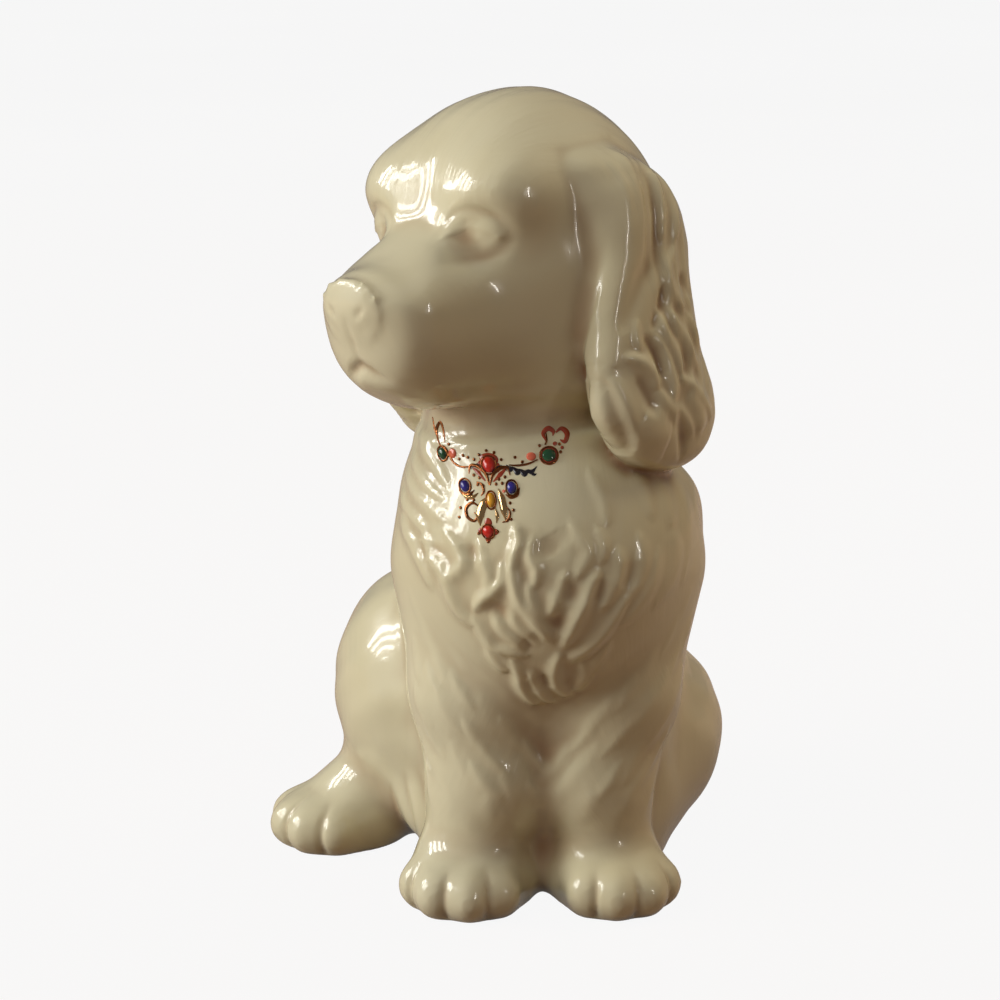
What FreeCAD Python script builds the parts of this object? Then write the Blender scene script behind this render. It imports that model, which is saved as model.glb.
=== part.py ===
import FreeCAD, Part
import math
import os

# Glazed china puppy, seated, with its head turned and a jewelled necklace fired on its chest.
# Lengths are in millimetres; +Z is up and the chest faces -Y, so the dog's own left is +X.
# A name that ends in share or shares holds fractions of the sizes that its comment names.

Vec = FreeCAD.Vector

# Sizes of the body casting
body_height = 104.0
body_width = 58.0
body_depth = 66.0
body_wall = 3.0
ruff_width = 42.0
ruff_height = 44.0
ruff_depth = 38.0
vent_diameter = 3.6

# Sizes of the head casting and how the head is held
head_height = 58.0
head_width = 49.0
head_depth = 51.0
head_wall = 3.0
muzzle_reach = 45.0
muzzle_width = 42.0
muzzle_height = 32.0
nose_width = 13.0
eye_width = 8.0
brow_width = 16.0
neck_overlap = 11.0
head_turn = 45.0
head_tilt = 4.0
head_nod = 4.0

# Sizes of the ears
ear_length = 62.0
ear_width = 33.0
ear_thickness = 11.0

# Sizes of the forelegs and their paws
leg_height = 73.0
leg_width = 26.0
foreleg_wall = 2.5
paw_width = 24.0
paw_length = 25.0
paw_height = 8.6
toe_width = 9.4
toe_count = 4
toe_fan = 84.0

# Sizes of the haunches, the hind paws and the tail
haunch_right_width = 37.0
haunch_right_depth = 48.0
haunch_right_height = 48.0
haunch_left_width = 37.6
haunch_left_depth = 46.0
haunch_left_height = 40.0
haunch_wall = 3.0
hock_length = 30.0
hock_thickness = 20.0
tucked_paw_width = 15.0
tucked_paw_height = 17.0
tail_thickness = 16.0

# Sizes of the enamels and the gilding on the chest
enamel_diameter = 2.5
enamel_rise = 0.9
setting_gap = 0.12
gilding_thickness = 0.4
gilding_sink = 0.3
gilding_line = 0.7
dot_diameter = 0.7
scroll_diameter = 4.6
leaf_length = 4.2
leaf_width = 1.8
necklace_width = 20.0
necklace_drop = 11.0

# How far a cutting solid runs past what it cuts
overrun = 2.0

# The body's axis stands beside the middle of the whole figure, on its left
body_axis = Vec(0, 0, 0)
up = Vec(0, 0, 1)
left = Vec(1, 0, 0)
back = Vec(0, 1, 0)

section_points = 16


def section(origin, axes, row, power):
    """Closed smooth outline, an oval with squarer shoulders where power is over 2."""
    along, shift_x, shift_y, half_x, half_front, half_back = row
    ex, ey, et = axes
    centre = origin + et * along + ex * shift_x + ey * shift_y
    points = []
    for step in range(section_points):
        angle = 2 * math.pi * step / section_points
        c, s = math.cos(angle), math.sin(angle)
        x = math.copysign(abs(c) ** (2 / power), c) * half_x
        y = math.copysign(abs(s) ** (2 / power), s) * (half_back if s > 0 else half_front)
        points.append(centre + ex * x + ey * y)
    curve = Part.BSplineCurve()
    curve.interpolate(Points=points, PeriodicFlag=True)
    return Part.Wire([curve.toShape()])


def stack(origin, axes, rows, power):
    """Smooth solid through a column of ovals; a row with no width closes it in a point."""
    profiles = []
    for row in rows:
        if row[3] == 0:
            along, shift_x, shift_y = row[:3]
            ex, ey, et = axes
            profiles.append(Part.Vertex(origin + et * along + ex * shift_x + ey * shift_y))
        else:
            profiles.append(section(origin, axes, row, power))
    return Part.makeLoft(profiles, True, False)


def oval(centre, axes, radii):
    """Ellipsoid with its three radii along the three axes."""
    ex, ey, ez = axes
    rx, ry, rz = radii
    matrix = FreeCAD.Matrix(
        ex.x * rx, ey.x * ry, ez.x * rz, centre.x,
        ex.y * rx, ey.y * ry, ez.y * rz, centre.y,
        ex.z * rx, ey.z * ry, ez.z * rz, centre.z,
        0, 0, 0, 1)
    return Part.makeSphere(1).transformGeometry(matrix)


def turned(angle):
    """Axes turned about the upright by an angle in degrees; the second one is forward."""
    a = math.radians(angle)
    forward = Vec(-math.sin(a), -math.cos(a), 0)
    side = Vec(math.cos(a), -math.sin(a), 0)
    return side, forward, up


def fused(shapes):
    return shapes[0].fuse(shapes[1:]) if len(shapes) > 1 else shapes[0]


def largest(shape):
    """The main solid of a cut, without crumbs left where surfaces graze."""
    return max(shape.Solids, key=lambda solid: solid.Volume)


# Everything under the table line is cut away, so the figure stands on flat feet
ground_size = 4 * body_height
ground = Part.makeBox(ground_size, ground_size, ground_size,
                      Vec(-ground_size / 2, -ground_size / 2, -ground_size))


# Body casting: a bell of ovals from the seat to the neck, with the chest ruff swelling its front.
# Rows: height in body_height, sideways place in body_width, place in body_depth, half width
# in body_width, and the reach forward and back from that place in body_depth.
torso_shares = [
    (0.00, 0.00, 0.24, 0.410, 0.390, 0.455),
    (0.10, 0.00, 0.24, 0.465, 0.440, 0.530),
    (0.23, 0.00, 0.23, 0.465, 0.455, 0.560),
    (0.38, 0.00, 0.17, 0.450, 0.485, 0.515),
    (0.52, 0.00, 0.09, 0.465, 0.485, 0.470),
    (0.64, 0.00, 0.03, 0.500, 0.455, 0.425),
    (0.74, 0.00, 0.00, 0.475, 0.390, 0.380),
    (0.85, -0.05, 0.00, 0.360, 0.300, 0.320),
    (0.93, -0.085, 0.015, 0.290, 0.260, 0.270),
    (1.00, -0.085, 0.015, 0.260, 0.235, 0.240),
]
torso_power = 2.2
ruff_height_share = 0.615
ruff_place_share = -0.18
vent_place_share = 0.42


def torso_rows(growth):
    """The body's ovals in millimetres, grown outward or, for the cavity, drawn in."""
    rows = []
    for along, shift_x, shift_y, half, front, rear in torso_shares:
        rows.append((along * body_height, shift_x * body_width, shift_y * body_depth,
                     half * body_width + growth, front * body_depth + growth,
                     rear * body_depth + growth))
    return rows


def torso_form(growth):
    """The body's outer shape with the ruff on it."""
    centre = body_axis + up * (ruff_height_share * body_height) + back * (ruff_place_share * body_depth)
    ruff = oval(centre, (left, back, up),
                (ruff_width / 2 + growth, ruff_depth / 2 + growth, ruff_height / 2 + growth))
    return stack(body_axis, (left, back, up), torso_rows(growth), torso_power).fuse(ruff)


def torso_cavity():
    rows = torso_rows(-body_wall)
    rows[0] = (body_wall,) + rows[0][1:]
    top = rows[-1]
    rows.append((top[0] + overrun,) + top[1:])
    return stack(body_axis, (left, back, up), rows, torso_power)


torso_outer = torso_form(0)
vent_place = body_axis + back * (vent_place_share * body_depth) - up * overrun
vent = Part.makeCylinder(vent_diameter / 2, body_wall + 2 * overrun, vent_place, up)
torso = torso_outer.cut([torso_cavity(), vent, ground])


# Head casting, luted over the neck: skull, muzzle, brows, sunk eyes and nose.
# Skull rows: height in head_height, sideways and forward place, half width in head_width,
# and the reach back and forward in head_depth.
skull_shares = [
    (-0.53, 0, 0, 0, 0, 0),
    (-0.48, 0, 0, 0.265, 0.235, 0.215),
    (-0.38, 0, 0, 0.390, 0.370, 0.275),
    (-0.24, 0, 0, 0.460, 0.470, 0.335),
    (-0.10, 0, 0, 0.495, 0.500, 0.410),
    (0.05, 0, 0, 0.500, 0.500, 0.470),
    (0.17, 0, 0, 0.475, 0.470, 0.475),
    (0.29, 0, 0, 0.420, 0.410, 0.420),
    (0.38, 0, 0, 0.325, 0.325, 0.325),
    (0.44, 0, 0, 0.205, 0.195, 0.195),
    (0.47, 0, 0, 0, 0, 0),
]
# Muzzle rows: reach in muzzle_reach, sideways place, drop in head_height, half width in
# muzzle_width, and the reach down and up in muzzle_height.
muzzle_shares = [
    (0.00, 0, -0.14, 0.475, 0.560, 0.440),
    (0.18, 0, -0.14, 0.500, 0.595, 0.455),
    (0.40, 0, -0.14, 0.440, 0.595, 0.470),
    (0.60, 0, -0.14, 0.370, 0.530, 0.455),
    (0.755, 0, -0.13, 0.330, 0.455, 0.375),
    (0.865, 0, -0.12, 0.290, 0.360, 0.305),
    (0.945, 0, -0.11, 0.225, 0.255, 0.235),
    (0.985, 0, -0.10, 0.130, 0.150, 0.140),
    (1.00, 0, -0.10, 0.050, 0.050, 0.050),
]
skull_power = 2.25
muzzle_power = 2.4
# Places on the head: forward in head_depth, sideways in head_width, up in head_height
brow_place_shares = (0.28, 0.255, 0.18)
socket_place_shares = (0.53, 0.315, 0.062)
eye_place_shares = (0.395, 0.28, 0.057)
nose_forward_share = 0.91
nose_up_share = -0.045
# The head's middle over the neck: sideways in body_width, back in body_depth
head_side_share = -0.07
head_back_share = 0.03
chin_share = 0.53

turn, tilt, nod = (math.radians(angle) for angle in (head_turn, head_tilt, head_nod))
plain_side, plain_forward, _ = turned(head_turn)
head_forward = plain_forward * math.cos(nod) - up * math.sin(nod)
nodded_up = plain_forward * math.sin(nod) + up * math.cos(nod)
head_side = plain_side * math.cos(tilt) + nodded_up * math.sin(tilt)
head_up = nodded_up * math.cos(tilt) - plain_side * math.sin(tilt)
head_middle = (body_axis + left * (head_side_share * body_width) + back * (head_back_share * body_depth)
               + up * (body_height - neck_overlap + chin_share * head_height))


def on_head(shares, side):
    forward, sideways, rise = shares
    return (head_middle + head_forward * (forward * head_depth)
            + head_side * (side * sideways * head_width) + head_up * (rise * head_height))


def skull_form(growth):
    """Skull and muzzle, drawn in towards the head's middle for the cavity."""
    tall = 1 + 2 * growth / head_height
    wide = 1 + 2 * growth / head_width
    deep = 1 + 2 * growth / head_depth
    rows = [(a * head_height * tall, x * head_width, y * head_depth, half * head_width * wide,
             rear * head_depth * deep, front * head_depth * deep)
            for a, x, y, half, rear, front in skull_shares]
    skull = stack(head_middle, (head_side, head_forward, head_up), rows, skull_power)
    reach = 1 + growth / muzzle_reach
    wide = 1 + 2 * growth / muzzle_width
    tall = 1 + 2 * growth / muzzle_height
    rows = [(a * muzzle_reach * reach, x * muzzle_width, y * head_height, half * muzzle_width * wide,
             down * muzzle_height * tall, rise * muzzle_height * tall)
            for a, x, y, half, down, rise in muzzle_shares]
    muzzle = stack(head_middle, (head_side, head_up, head_forward), rows, muzzle_power)
    return skull.fuse(muzzle)


def head_form():
    """The head's outer shape with its features."""
    axes = (head_forward, head_side, head_up)
    brow = brow_width / 2
    eye = eye_width / 2
    shape = skull_form(0)
    brows = [oval(on_head(brow_place_shares, side), axes, (brow, brow, brow * 0.8)) for side in (-1, 1)]
    shape = shape.fuse(brows)
    sockets = [oval(on_head(socket_place_shares, side), axes, (eye * 1.5, eye * 1.3, eye))
               for side in (-1, 1)]
    shape = shape.cut(sockets)
    eyes = [oval(on_head(eye_place_shares, side), axes, (eye, eye, eye * 0.9)) for side in (-1, 1)]
    nose_place = (head_middle + head_forward * (nose_forward_share * muzzle_reach)
                  + head_up * (nose_up_share * head_height))
    nose = nose_width / 2
    return shape.fuse(eyes + [oval(nose_place, axes, (nose * 0.66, nose, nose * 0.74))])


head_outer = head_form()
head = largest(head_outer.cut([skull_form(-head_wall), torso_outer]))


# Ears: long flat pendants hung from the sides of the skull.
# Rows: drop in ear_length, forward place in ear_width, sideways place in head_width,
# half width in ear_width and half thickness in ear_thickness.
ear_shares = [
    (0.00, 0.06, 0.31, 0, 0),
    (0.04, 0.06, 0.375, 0.17, 0.36),
    (0.12, -0.04, 0.44, 0.28, 0.45),
    (0.23, -0.10, 0.48, 0.33, 0.45),
    (0.33, -0.11, 0.50, 0.34, 0.44),
    (0.43, -0.09, 0.52, 0.36, 0.44),
    (0.54, -0.065, 0.535, 0.40, 0.45),
    (0.66, -0.03, 0.55, 0.45, 0.47),
    (0.79, -0.06, 0.56, 0.49, 0.50),
    (0.88, -0.12, 0.555, 0.405, 0.47),
    (0.96, -0.14, 0.55, 0.26, 0.38),
    (1.00, -0.15, 0.54, 0, 0),
]
ear_power = 2.5
ear_root_share = 0.32


def ear(side):
    root = head_middle + head_up * (ear_root_share * head_height)
    rows = [(a * ear_length, x * ear_width, side * y * head_width, half * ear_width,
             thick * ear_thickness, thick * ear_thickness) for a, x, y, half, thick in ear_shares]
    shape = stack(root, (head_forward, head_side, head_up * -1), rows, ear_power)
    return largest(shape.cut([head_outer, torso_outer]))


# Forelegs: hollow posts from the shoulders to the paws, open at the back to the body.
# Rows: height in leg_height, outward place in body_width, place in body_depth and half
# width in leg_width.
leg_shares = [
    (0.05, 0.215, -0.19, 0.36),
    (0.14, 0.215, -0.195, 0.385),
    (0.33, 0.185, -0.18, 0.43),
    (0.55, 0.215, -0.15, 0.47),
    (0.74, 0.255, -0.09, 0.49),
    (0.86, 0.275, -0.06, 0.50),
    (0.95, 0.275, -0.05, 0.36),
    (1.00, 0.275, -0.05, 0),
]
leg_power = 2.0
paw_out_share = 0.218
paw_front_share = -0.25
paw_toe_out = 19.0
toe_root_share = 0.25
toe_reach_share = 0.29
toe_height_share = 0.72


def paw(centre, heading, width, length, height, toes, toe):
    """Low pad with a fan of rounded toes; heading is the way it points, in degrees."""
    side, forward, _ = turned(heading)
    pad = oval(centre + up * (height / 2), (side, forward, up), (width / 2, length / 2, height))
    shapes = [pad]
    for index in range(toes):
        spread = ((index + 0.5) / toes - 0.5) * toe_fan
        toe_side, toe_forward, _ = turned(heading + spread)
        place = centre + toe_forward * (toe_root_share * length) + up * (height / 2)
        shapes.append(oval(place, (toe_side, toe_forward, up),
                           (toe / 2, toe_reach_share * length, height * toe_height_share)))
    return shapes


def foreleg(side):
    rows, hollow = [], []
    for along, out, deep, half in leg_shares:
        row = (along * leg_height, side * out * body_width, deep * body_depth)
        radius = half * leg_width
        rows.append(row + (radius, radius, radius))
        inside = radius - foreleg_wall
        if inside > 0 and along > leg_shares[0][0]:
            hollow.append(row + (inside, inside, inside))
    shapes = [stack(body_axis, (left, back, up), rows, leg_power)]
    foot = body_axis + left * (side * paw_out_share * body_width) + back * (paw_front_share * body_depth)
    shapes += paw(foot, -side * paw_toe_out, paw_width, paw_length, paw_height, toe_count, toe_width)
    cavity = stack(body_axis, (left, back, up), hollow, leg_power)
    return fused(shapes), cavity


leg_forms = {side: foreleg(side) for side in (-1, 1)}
forelegs = {}
for side, (form, cavity) in leg_forms.items():
    others = [torso_outer, ground]
    if side == 1:
        others.append(leg_forms[-1][0])
    forelegs[side] = largest(form.cut([cavity] + others))


# Haunches: rounded shells luted over the body's hips, open on the body's side.
# Places: sideways in body_width, back in body_depth, up in the haunch's own height.
haunch_right_place_shares = (-0.405, 0.335, 0.645)
haunch_left_place_shares = (0.29, 0.38, 0.475)


def haunch(place_shares, width, depth, height):
    out, deep, rise = place_shares
    centre = body_axis + left * (out * body_width) + back * (deep * body_depth) + up * (rise * height)
    outer = oval(centre, (left, back, up), (width / 2, depth / 2, height / 2))
    inner = oval(centre, (left, back, up),
                 (width / 2 - haunch_wall, depth / 2 - haunch_wall, height / 2 - haunch_wall))
    return outer, inner


haunch_right_outer, haunch_right_inner = haunch(
    haunch_right_place_shares, haunch_right_width, haunch_right_depth, haunch_right_height)
haunch_left_outer, haunch_left_inner = haunch(
    haunch_left_place_shares, haunch_left_width, haunch_left_depth, haunch_left_height)
leg_outers = [leg_forms[-1][0], leg_forms[1][0]]
floor_pad = Part.makeBox(ground_size, ground_size, haunch_wall,
                         Vec(-ground_size / 2, -ground_size / 2, 0))
haunch_right = largest(haunch_right_outer.cut([haunch_right_inner, torso_outer, ground] + leg_outers))
haunch_left = largest(haunch_left_outer.cut(
    [haunch_left_inner.cut(floor_pad), torso_outer, ground] + leg_outers))


# Hind paws: the right one splayed beside the haunch, the left one tucked under the belly.
# Places: sideways in body_width, back in body_depth, up in the hock's thickness.
hock_place_shares = (-0.53, 0.31, 0.45)
hock_heading = 52.0
splayed_paw_place_shares = (-0.68, 0.265)
tucked_paw_place_shares = (-0.36, 0.015)
tucked_paw_heading = 22.0
tucked_toe_count = 3


def hind_paw_right_form():
    out, deep, rise = hock_place_shares
    side, forward, _ = turned(hock_heading)
    centre = (body_axis + left * (out * body_width) + back * (deep * body_depth)
              + up * (rise * hock_thickness))
    hock = oval(centre, (side, forward, up), (hock_thickness / 2, hock_length / 2, hock_thickness / 2))
    out, deep = splayed_paw_place_shares
    foot = body_axis + left * (out * body_width) + back * (deep * body_depth)
    return fused([hock] + paw(foot, hock_heading, paw_width * 0.92, paw_length * 0.92,
                              paw_height * 1.1, toe_count, toe_width * 0.96))


def hind_paw_left_form():
    out, deep = tucked_paw_place_shares
    foot = body_axis + left * (out * body_width) + back * (deep * body_depth)
    return fused(paw(foot, tucked_paw_heading, tucked_paw_width, tucked_paw_width,
                     tucked_paw_height / 2, tucked_toe_count, tucked_paw_width * 0.36))


hind_paw_right_outer = hind_paw_right_form()
hind_paw_right = largest(hind_paw_right_outer.cut(
    [torso_outer, haunch_right_outer, ground] + leg_outers))
hind_paw_left = largest(hind_paw_left_form().cut(
    [torso_outer, haunch_right_outer, hind_paw_right_outer, ground] + leg_outers))


# Tail: curled round the seat on the left; each row holds a place on the ground in body_width
# and body_depth, a height and a half thickness in tail_thickness.
tail_shares = [
    (-0.09, 0.740, 0.80, 0.50),
    (0.02, 0.800, 0.52, 0.47),
    (0.155, 0.825, 0.43, 0.43),
    (0.275, 0.795, 0.38, 0.36),
    (0.345, 0.740, 0.32, 0.25),
    (0.38, 0.700, 0.28, 0),
]


def tail_form():
    places = [body_axis + left * (x * body_width) + back * (y * body_depth) + up * (z * tail_thickness)
              for x, y, z, _ in tail_shares]
    profiles = []
    for index, place in enumerate(places):
        radius = tail_shares[index][3] * tail_thickness
        if radius == 0:
            profiles.append(Part.Vertex(place))
            continue
        ahead = places[min(index + 1, len(places) - 1)]
        behind = places[max(index - 1, 0)]
        profiles.append(Part.Wire([Part.makeCircle(radius, place, ahead - behind)]))
    return Part.makeLoft(profiles, True, False)


tail = largest(tail_form().cut([torso_outer, haunch_left_outer, haunch_right_outer, ground]))


# Necklace: gold burnt on in a thin layer that follows the chest, and raised enamel drops.
# Places on it: across in necklace_width and down in necklace_drop, from the top jewel.
top_jewel_across_share = -0.19
top_jewel_height_share = 0.825


def on_necklace(place):
    """Point on the necklace's flat drawing, in front of the chest."""
    across, down = place
    return Vec(body_axis.x + top_jewel_across_share * body_width + across * necklace_width,
               body_axis.y - body_depth,
               body_axis.z + top_jewel_height_share * body_height - down * necklace_drop)


def chest_at(point):
    """Where a straight look from the front meets the chest."""
    ray = Part.makeLine(point, point + back * body_depth)
    return min((v.Point for v in torso_outer.common(ray).Vertexes), key=lambda p: p.y)


def chest_axes(point):
    """Axes on the chest: across it, up along it and out of it."""
    step = enamel_diameter / 2
    across = (chest_at(point + left * step) - chest_at(point - left * step)).normalize()
    rise = (chest_at(point + up * step) - chest_at(point - up * step)).normalize()
    outward = across.cross(rise).normalize()
    return across, rise, outward


def enamel(place, width, height):
    """Full drop of enamel; the chest cuts its back off."""
    point = on_necklace(place)
    return oval(chest_at(point), chest_axes(point), (width / 2, height / 2, enamel_rise))


enamel_places = {
    "ruby_enamel_top": (0.0, 0.0),
    "ruby_enamel_drop": (0.0, 0.97),
    "sapphire_enamel_right": (-0.215, 0.345),
    "sapphire_enamel_left": (0.205, 0.30),
    "emerald_enamel_right": (-0.42, -0.06),
    "emerald_enamel_left": (0.54, -0.17),
    "topaz_enamel": (0.015, 0.52),
}
coral_places = [(-0.33, 0.17), (0.38, -0.15)]
enamel_forms = {name: enamel(place, enamel_diameter, enamel_diameter)
                for name, place in enamel_places.items()}
coral_forms = [enamel(place, enamel_diameter * 0.5, enamel_diameter * 0.85) for place in coral_places]
jewels = {name: largest(form.cut(torso_outer)) for name, form in enamel_forms.items()}
jewels["coral_enamels"] = Part.makeCompound([largest(form.cut(torso_outer)) for form in coral_forms])


def on_chest(place):
    """Point on the chest and the axes there, for a place on the necklace."""
    point = on_necklace(place)
    return chest_at(point), chest_axes(point)


def plate(edges_of, place):
    """Flat gilding laid on the chest: its outline is drawn in the plane that touches there."""
    centre, (across, rise, outward) = on_chest(place)
    seat = centre - outward * gilding_sink

    def at(x, y):
        return seat + across * x + rise * y

    face = Part.Face(Part.Wire(edges_of(at, outward)))
    return face.extrude(outward * (gilding_sink + gilding_thickness))


def disc(radius):
    return lambda at, out: [Part.makeCircle(radius, at(0, 0), out)]


def arc_band(radius, start, end, line):
    """Stretch of a ring between two angles in degrees, counted from the left upwards."""
    outer, inner, middle = radius + line / 2, radius - line / 2, (start + end) / 2

    def edges(at, out):
        def rim(distance, degrees):
            a = math.radians(degrees)
            return at(distance * math.cos(a), distance * math.sin(a))

        return [
            Part.Arc(rim(outer, start), rim(outer, middle), rim(outer, end)).toShape(),
            Part.makeLine(rim(outer, end), rim(inner, end)),
            Part.Arc(rim(inner, end), rim(inner, middle), rim(inner, start)).toShape(),
            Part.makeLine(rim(inner, start), rim(outer, start)),
        ]

    return edges


def leaf(length, width, heading):
    """Pointed leaf with curved edges, turned by its heading in degrees."""
    a = math.radians(heading)
    c, s = math.cos(a), math.sin(a)

    def edges(at, out):
        def turned_at(x, y):
            return at(c * x - s * y, s * x + c * y)

        root, tip = turned_at(-length / 2, 0), turned_at(length / 2, 0)
        return [
            Part.Arc(root, turned_at(0, width / 2), tip).toShape(),
            Part.Arc(tip, turned_at(0, -width / 2), root).toShape(),
        ]

    return edges


scroll = scroll_diameter / 2
curl = scroll_diameter / 4
mount_reach = enamel_diameter / 2 + setting_gap + gilding_line / 2
mounts = []
for place in enamel_places.values():
    mounts += [(place, arc_band(mount_reach, 5, 175, gilding_line)),
               (place, arc_band(mount_reach, 185, 355, gilding_line))]
leaves = [
    ((-0.125, 0.74), leaf(leaf_length, leaf_width, 80)),
    ((0.165, 0.70), leaf(leaf_length, leaf_width, 100)),
]
acanthus = [((0.31 + 0.05 * step, 0.02), leaf(leaf_length * 0.36, leaf_width * 0.45, 100))
            for step in range(4)]
coral_scrolls = [((0.60, -0.50), arc_band(curl, -30, 210, gilding_line))]
scrolls = [
    ((-0.205, -0.02), arc_band(scroll * 0.45, 20, 280, gilding_line)),
    ((0.20, -0.02), arc_band(scroll * 0.45, -100, 160, gilding_line)),
    ((-0.275, 0.82), arc_band(scroll * 0.6, 60, 300, gilding_line)),
    ((-0.42, -0.42), arc_band(curl, -60, 200, gilding_line)),
]
dot_places = [
    (-0.10, -0.15), (-0.03, -0.235), (0.04, -0.23), (0.11, -0.17), (0.165, -0.205), (0.235, -0.18),
    (-0.29, -0.13), (-0.225, -0.185), (-0.155, -0.18), (-0.145, 0.54), (-0.24, 0.58), (-0.335, 0.64),
    (-0.385, 0.78), (0.235, 0.52), (0.25, 0.64), (0.24, 0.78),
]
dots = [(place, disc(dot_diameter / 2)) for place in dot_places]


def gilding(marks):
    """Plates for one kind of gilding, cut by the chest under them."""
    return [largest(plate(edges_of, place).cut(chest_patch)) for place, edges_of in marks]


# The collar is a thin band round the neck, lower at the throat than at the nape
collar_height_share = 0.835
collar_slope = 8.0


def collar():
    size = 2 * body_width
    slab = Part.makeBox(size, size, gilding_line,
                        Vec(body_axis.x - size / 2, body_axis.y - size / 2, -gilding_line / 2))
    slab.rotate(Vec(body_axis.x, body_axis.y - body_depth * 0.3, 0), left, collar_slope)
    slab.translate(up * (body_axis.z + collar_height_share * body_height))
    return slab


patch_room = Part.makeBox(
    2 * necklace_width, body_depth, 3 * necklace_drop,
    on_necklace((0, 0)) - left * necklace_width - up * (2 * necklace_drop) + back * (body_depth * 0.45))
chest_patch = torso_outer.common(patch_room)
gilt = {}
laid = list(enamel_forms.values()) + coral_forms
for name, marks in (
        ("gold_mounts", mounts), ("gold_leaves", leaves), ("coral_scrolls", coral_scrolls),
        ("acanthus_leaf", acanthus), ("gold_scrolls", scrolls), ("gold_dots", dots)):
    plates = gilding(marks)
    laid += plates
    gilt[name] = Part.makeCompound(plates)
band = stack(body_axis, (left, back, up), torso_rows(gilding_thickness), torso_power)
slab = collar()
collar_ends = [on_necklace(enamel_places[name]) for name in ("emerald_enamel_right", "emerald_enamel_left")]
front_gap = Part.makeBox(
    collar_ends[1].x - collar_ends[0].x, body_depth, 2 * necklace_drop,
    collar_ends[0] - up * necklace_drop)
gilt["gold_collar"] = largest(band.common(slab).cut([torso_outer.common(slab), front_gap] + laid))


pieces = {
    "torso": torso,
    "head": head,
    "ear_right": ear(-1),
    "ear_left": ear(1),
    "foreleg_right": forelegs[-1],
    "foreleg_left": forelegs[1],
    "haunch_right": haunch_right,
    "haunch_left": haunch_left,
    "hind_paw_right": hind_paw_right,
    "hind_paw_left": hind_paw_left,
    "tail": tail,
}
pieces.update(jewels)
pieces.update(gilt)

# The origin goes under the middle of the whole figure
box = Part.makeCompound(list(pieces.values())).optimalBoundingBox(False, False)
to_origin = Vec(-box.Center.x, -box.Center.y, -box.ZMin)

os.makedirs("parts", exist_ok=True)
for name, shape in pieces.items():
    shape.translate(to_origin)
    shape.exportStep("parts/" + name + ".step")
    solids = shape.Solids
    print(name, "solids", len(solids), "volume %.1f" % shape.Volume, "valid", shape.isValid())
print("moved by", to_origin, "size", box.XLength, box.YLength, box.ZLength)
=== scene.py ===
import math
import bpy
import numpy as np
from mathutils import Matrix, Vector


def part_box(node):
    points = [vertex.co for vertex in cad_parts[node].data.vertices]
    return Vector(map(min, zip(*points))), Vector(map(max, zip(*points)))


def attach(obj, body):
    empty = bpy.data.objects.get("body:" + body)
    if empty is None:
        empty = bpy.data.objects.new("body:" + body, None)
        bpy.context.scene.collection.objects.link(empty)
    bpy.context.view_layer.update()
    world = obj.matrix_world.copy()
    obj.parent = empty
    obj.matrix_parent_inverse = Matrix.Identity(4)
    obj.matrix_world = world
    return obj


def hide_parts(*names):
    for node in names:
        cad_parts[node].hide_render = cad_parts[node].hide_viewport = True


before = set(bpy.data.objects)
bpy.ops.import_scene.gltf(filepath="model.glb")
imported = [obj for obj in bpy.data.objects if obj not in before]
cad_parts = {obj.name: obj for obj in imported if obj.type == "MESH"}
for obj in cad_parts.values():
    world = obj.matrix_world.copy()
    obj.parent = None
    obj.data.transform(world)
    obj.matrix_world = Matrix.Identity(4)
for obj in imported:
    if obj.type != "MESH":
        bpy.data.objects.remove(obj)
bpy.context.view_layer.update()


# Body: a slip-cast bell of white china from the seat to the neck, with the chest ruff
# swelling its front. It is drawn in millimetres about the body's own upright axis, and
# every other casting joins it in one skin, as wet clay seams are sponged away.
low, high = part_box("torso")
body_axis = np.array([500 * (low.x + high.x), 1000 * low.y + 30.9, 0.0])
upright = np.eye(3)
body_rows = [  # height, side, back, half width, reach forward, reach back
    (0, 0, 16, 24, 26, 30),
    (10, 0, 16, 27, 29, 35),
    (24, 0, 15, 27, 30, 37),
    (40, 0, 11, 26, 32, 34),
    (54, 0, 6, 27, 32, 31),
    (66, 0.3, 2, 28.8, 30, 28),
    (77, 0, 0, 27.5, 26, 25),
    (88, -3, 0, 21, 20, 21),
    (100, -5, 1, 16.5, 17, 18),
    (112, -5, 1, 13, 13, 13),
]
ruff_middle = (0, -12, 64)
ruff_radii = (21, 19, 22)
castings = {}


def smooth_curve(stations, values, t):
    """A cubic curve through a table of values."""
    s, v = np.asarray(stations, float), np.asarray(values, float)
    slope = np.gradient(v, s, axis=0)
    t = np.clip(t, s[0], s[-1])
    i = np.clip(np.searchsorted(s, t) - 1, 0, len(s) - 2)
    h = s[i + 1] - s[i]
    u = (t - s[i]) / h
    if v.ndim > 1:
        u, h = u[..., None], h[..., None]
    return ((2 * u**3 - 3 * u**2 + 1) * v[i] + (u**3 - 2 * u**2 + u) * h * slope[i]
            + (3 * u**2 - 2 * u**3) * v[i + 1] + (u**3 - u**2) * h * slope[i + 1])


def ball(points, centre, radii, axes=upright):
    """Distance to an oval ball."""
    q = (points - np.asarray(centre, float)) @ np.asarray(axes, float).T
    r = np.asarray(radii, float)
    k0 = np.linalg.norm(q / r, axis=-1)
    k1 = np.linalg.norm(q / r**2, axis=-1) + 1e-9
    return k0 * (k0 - 1) / k1


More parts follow.
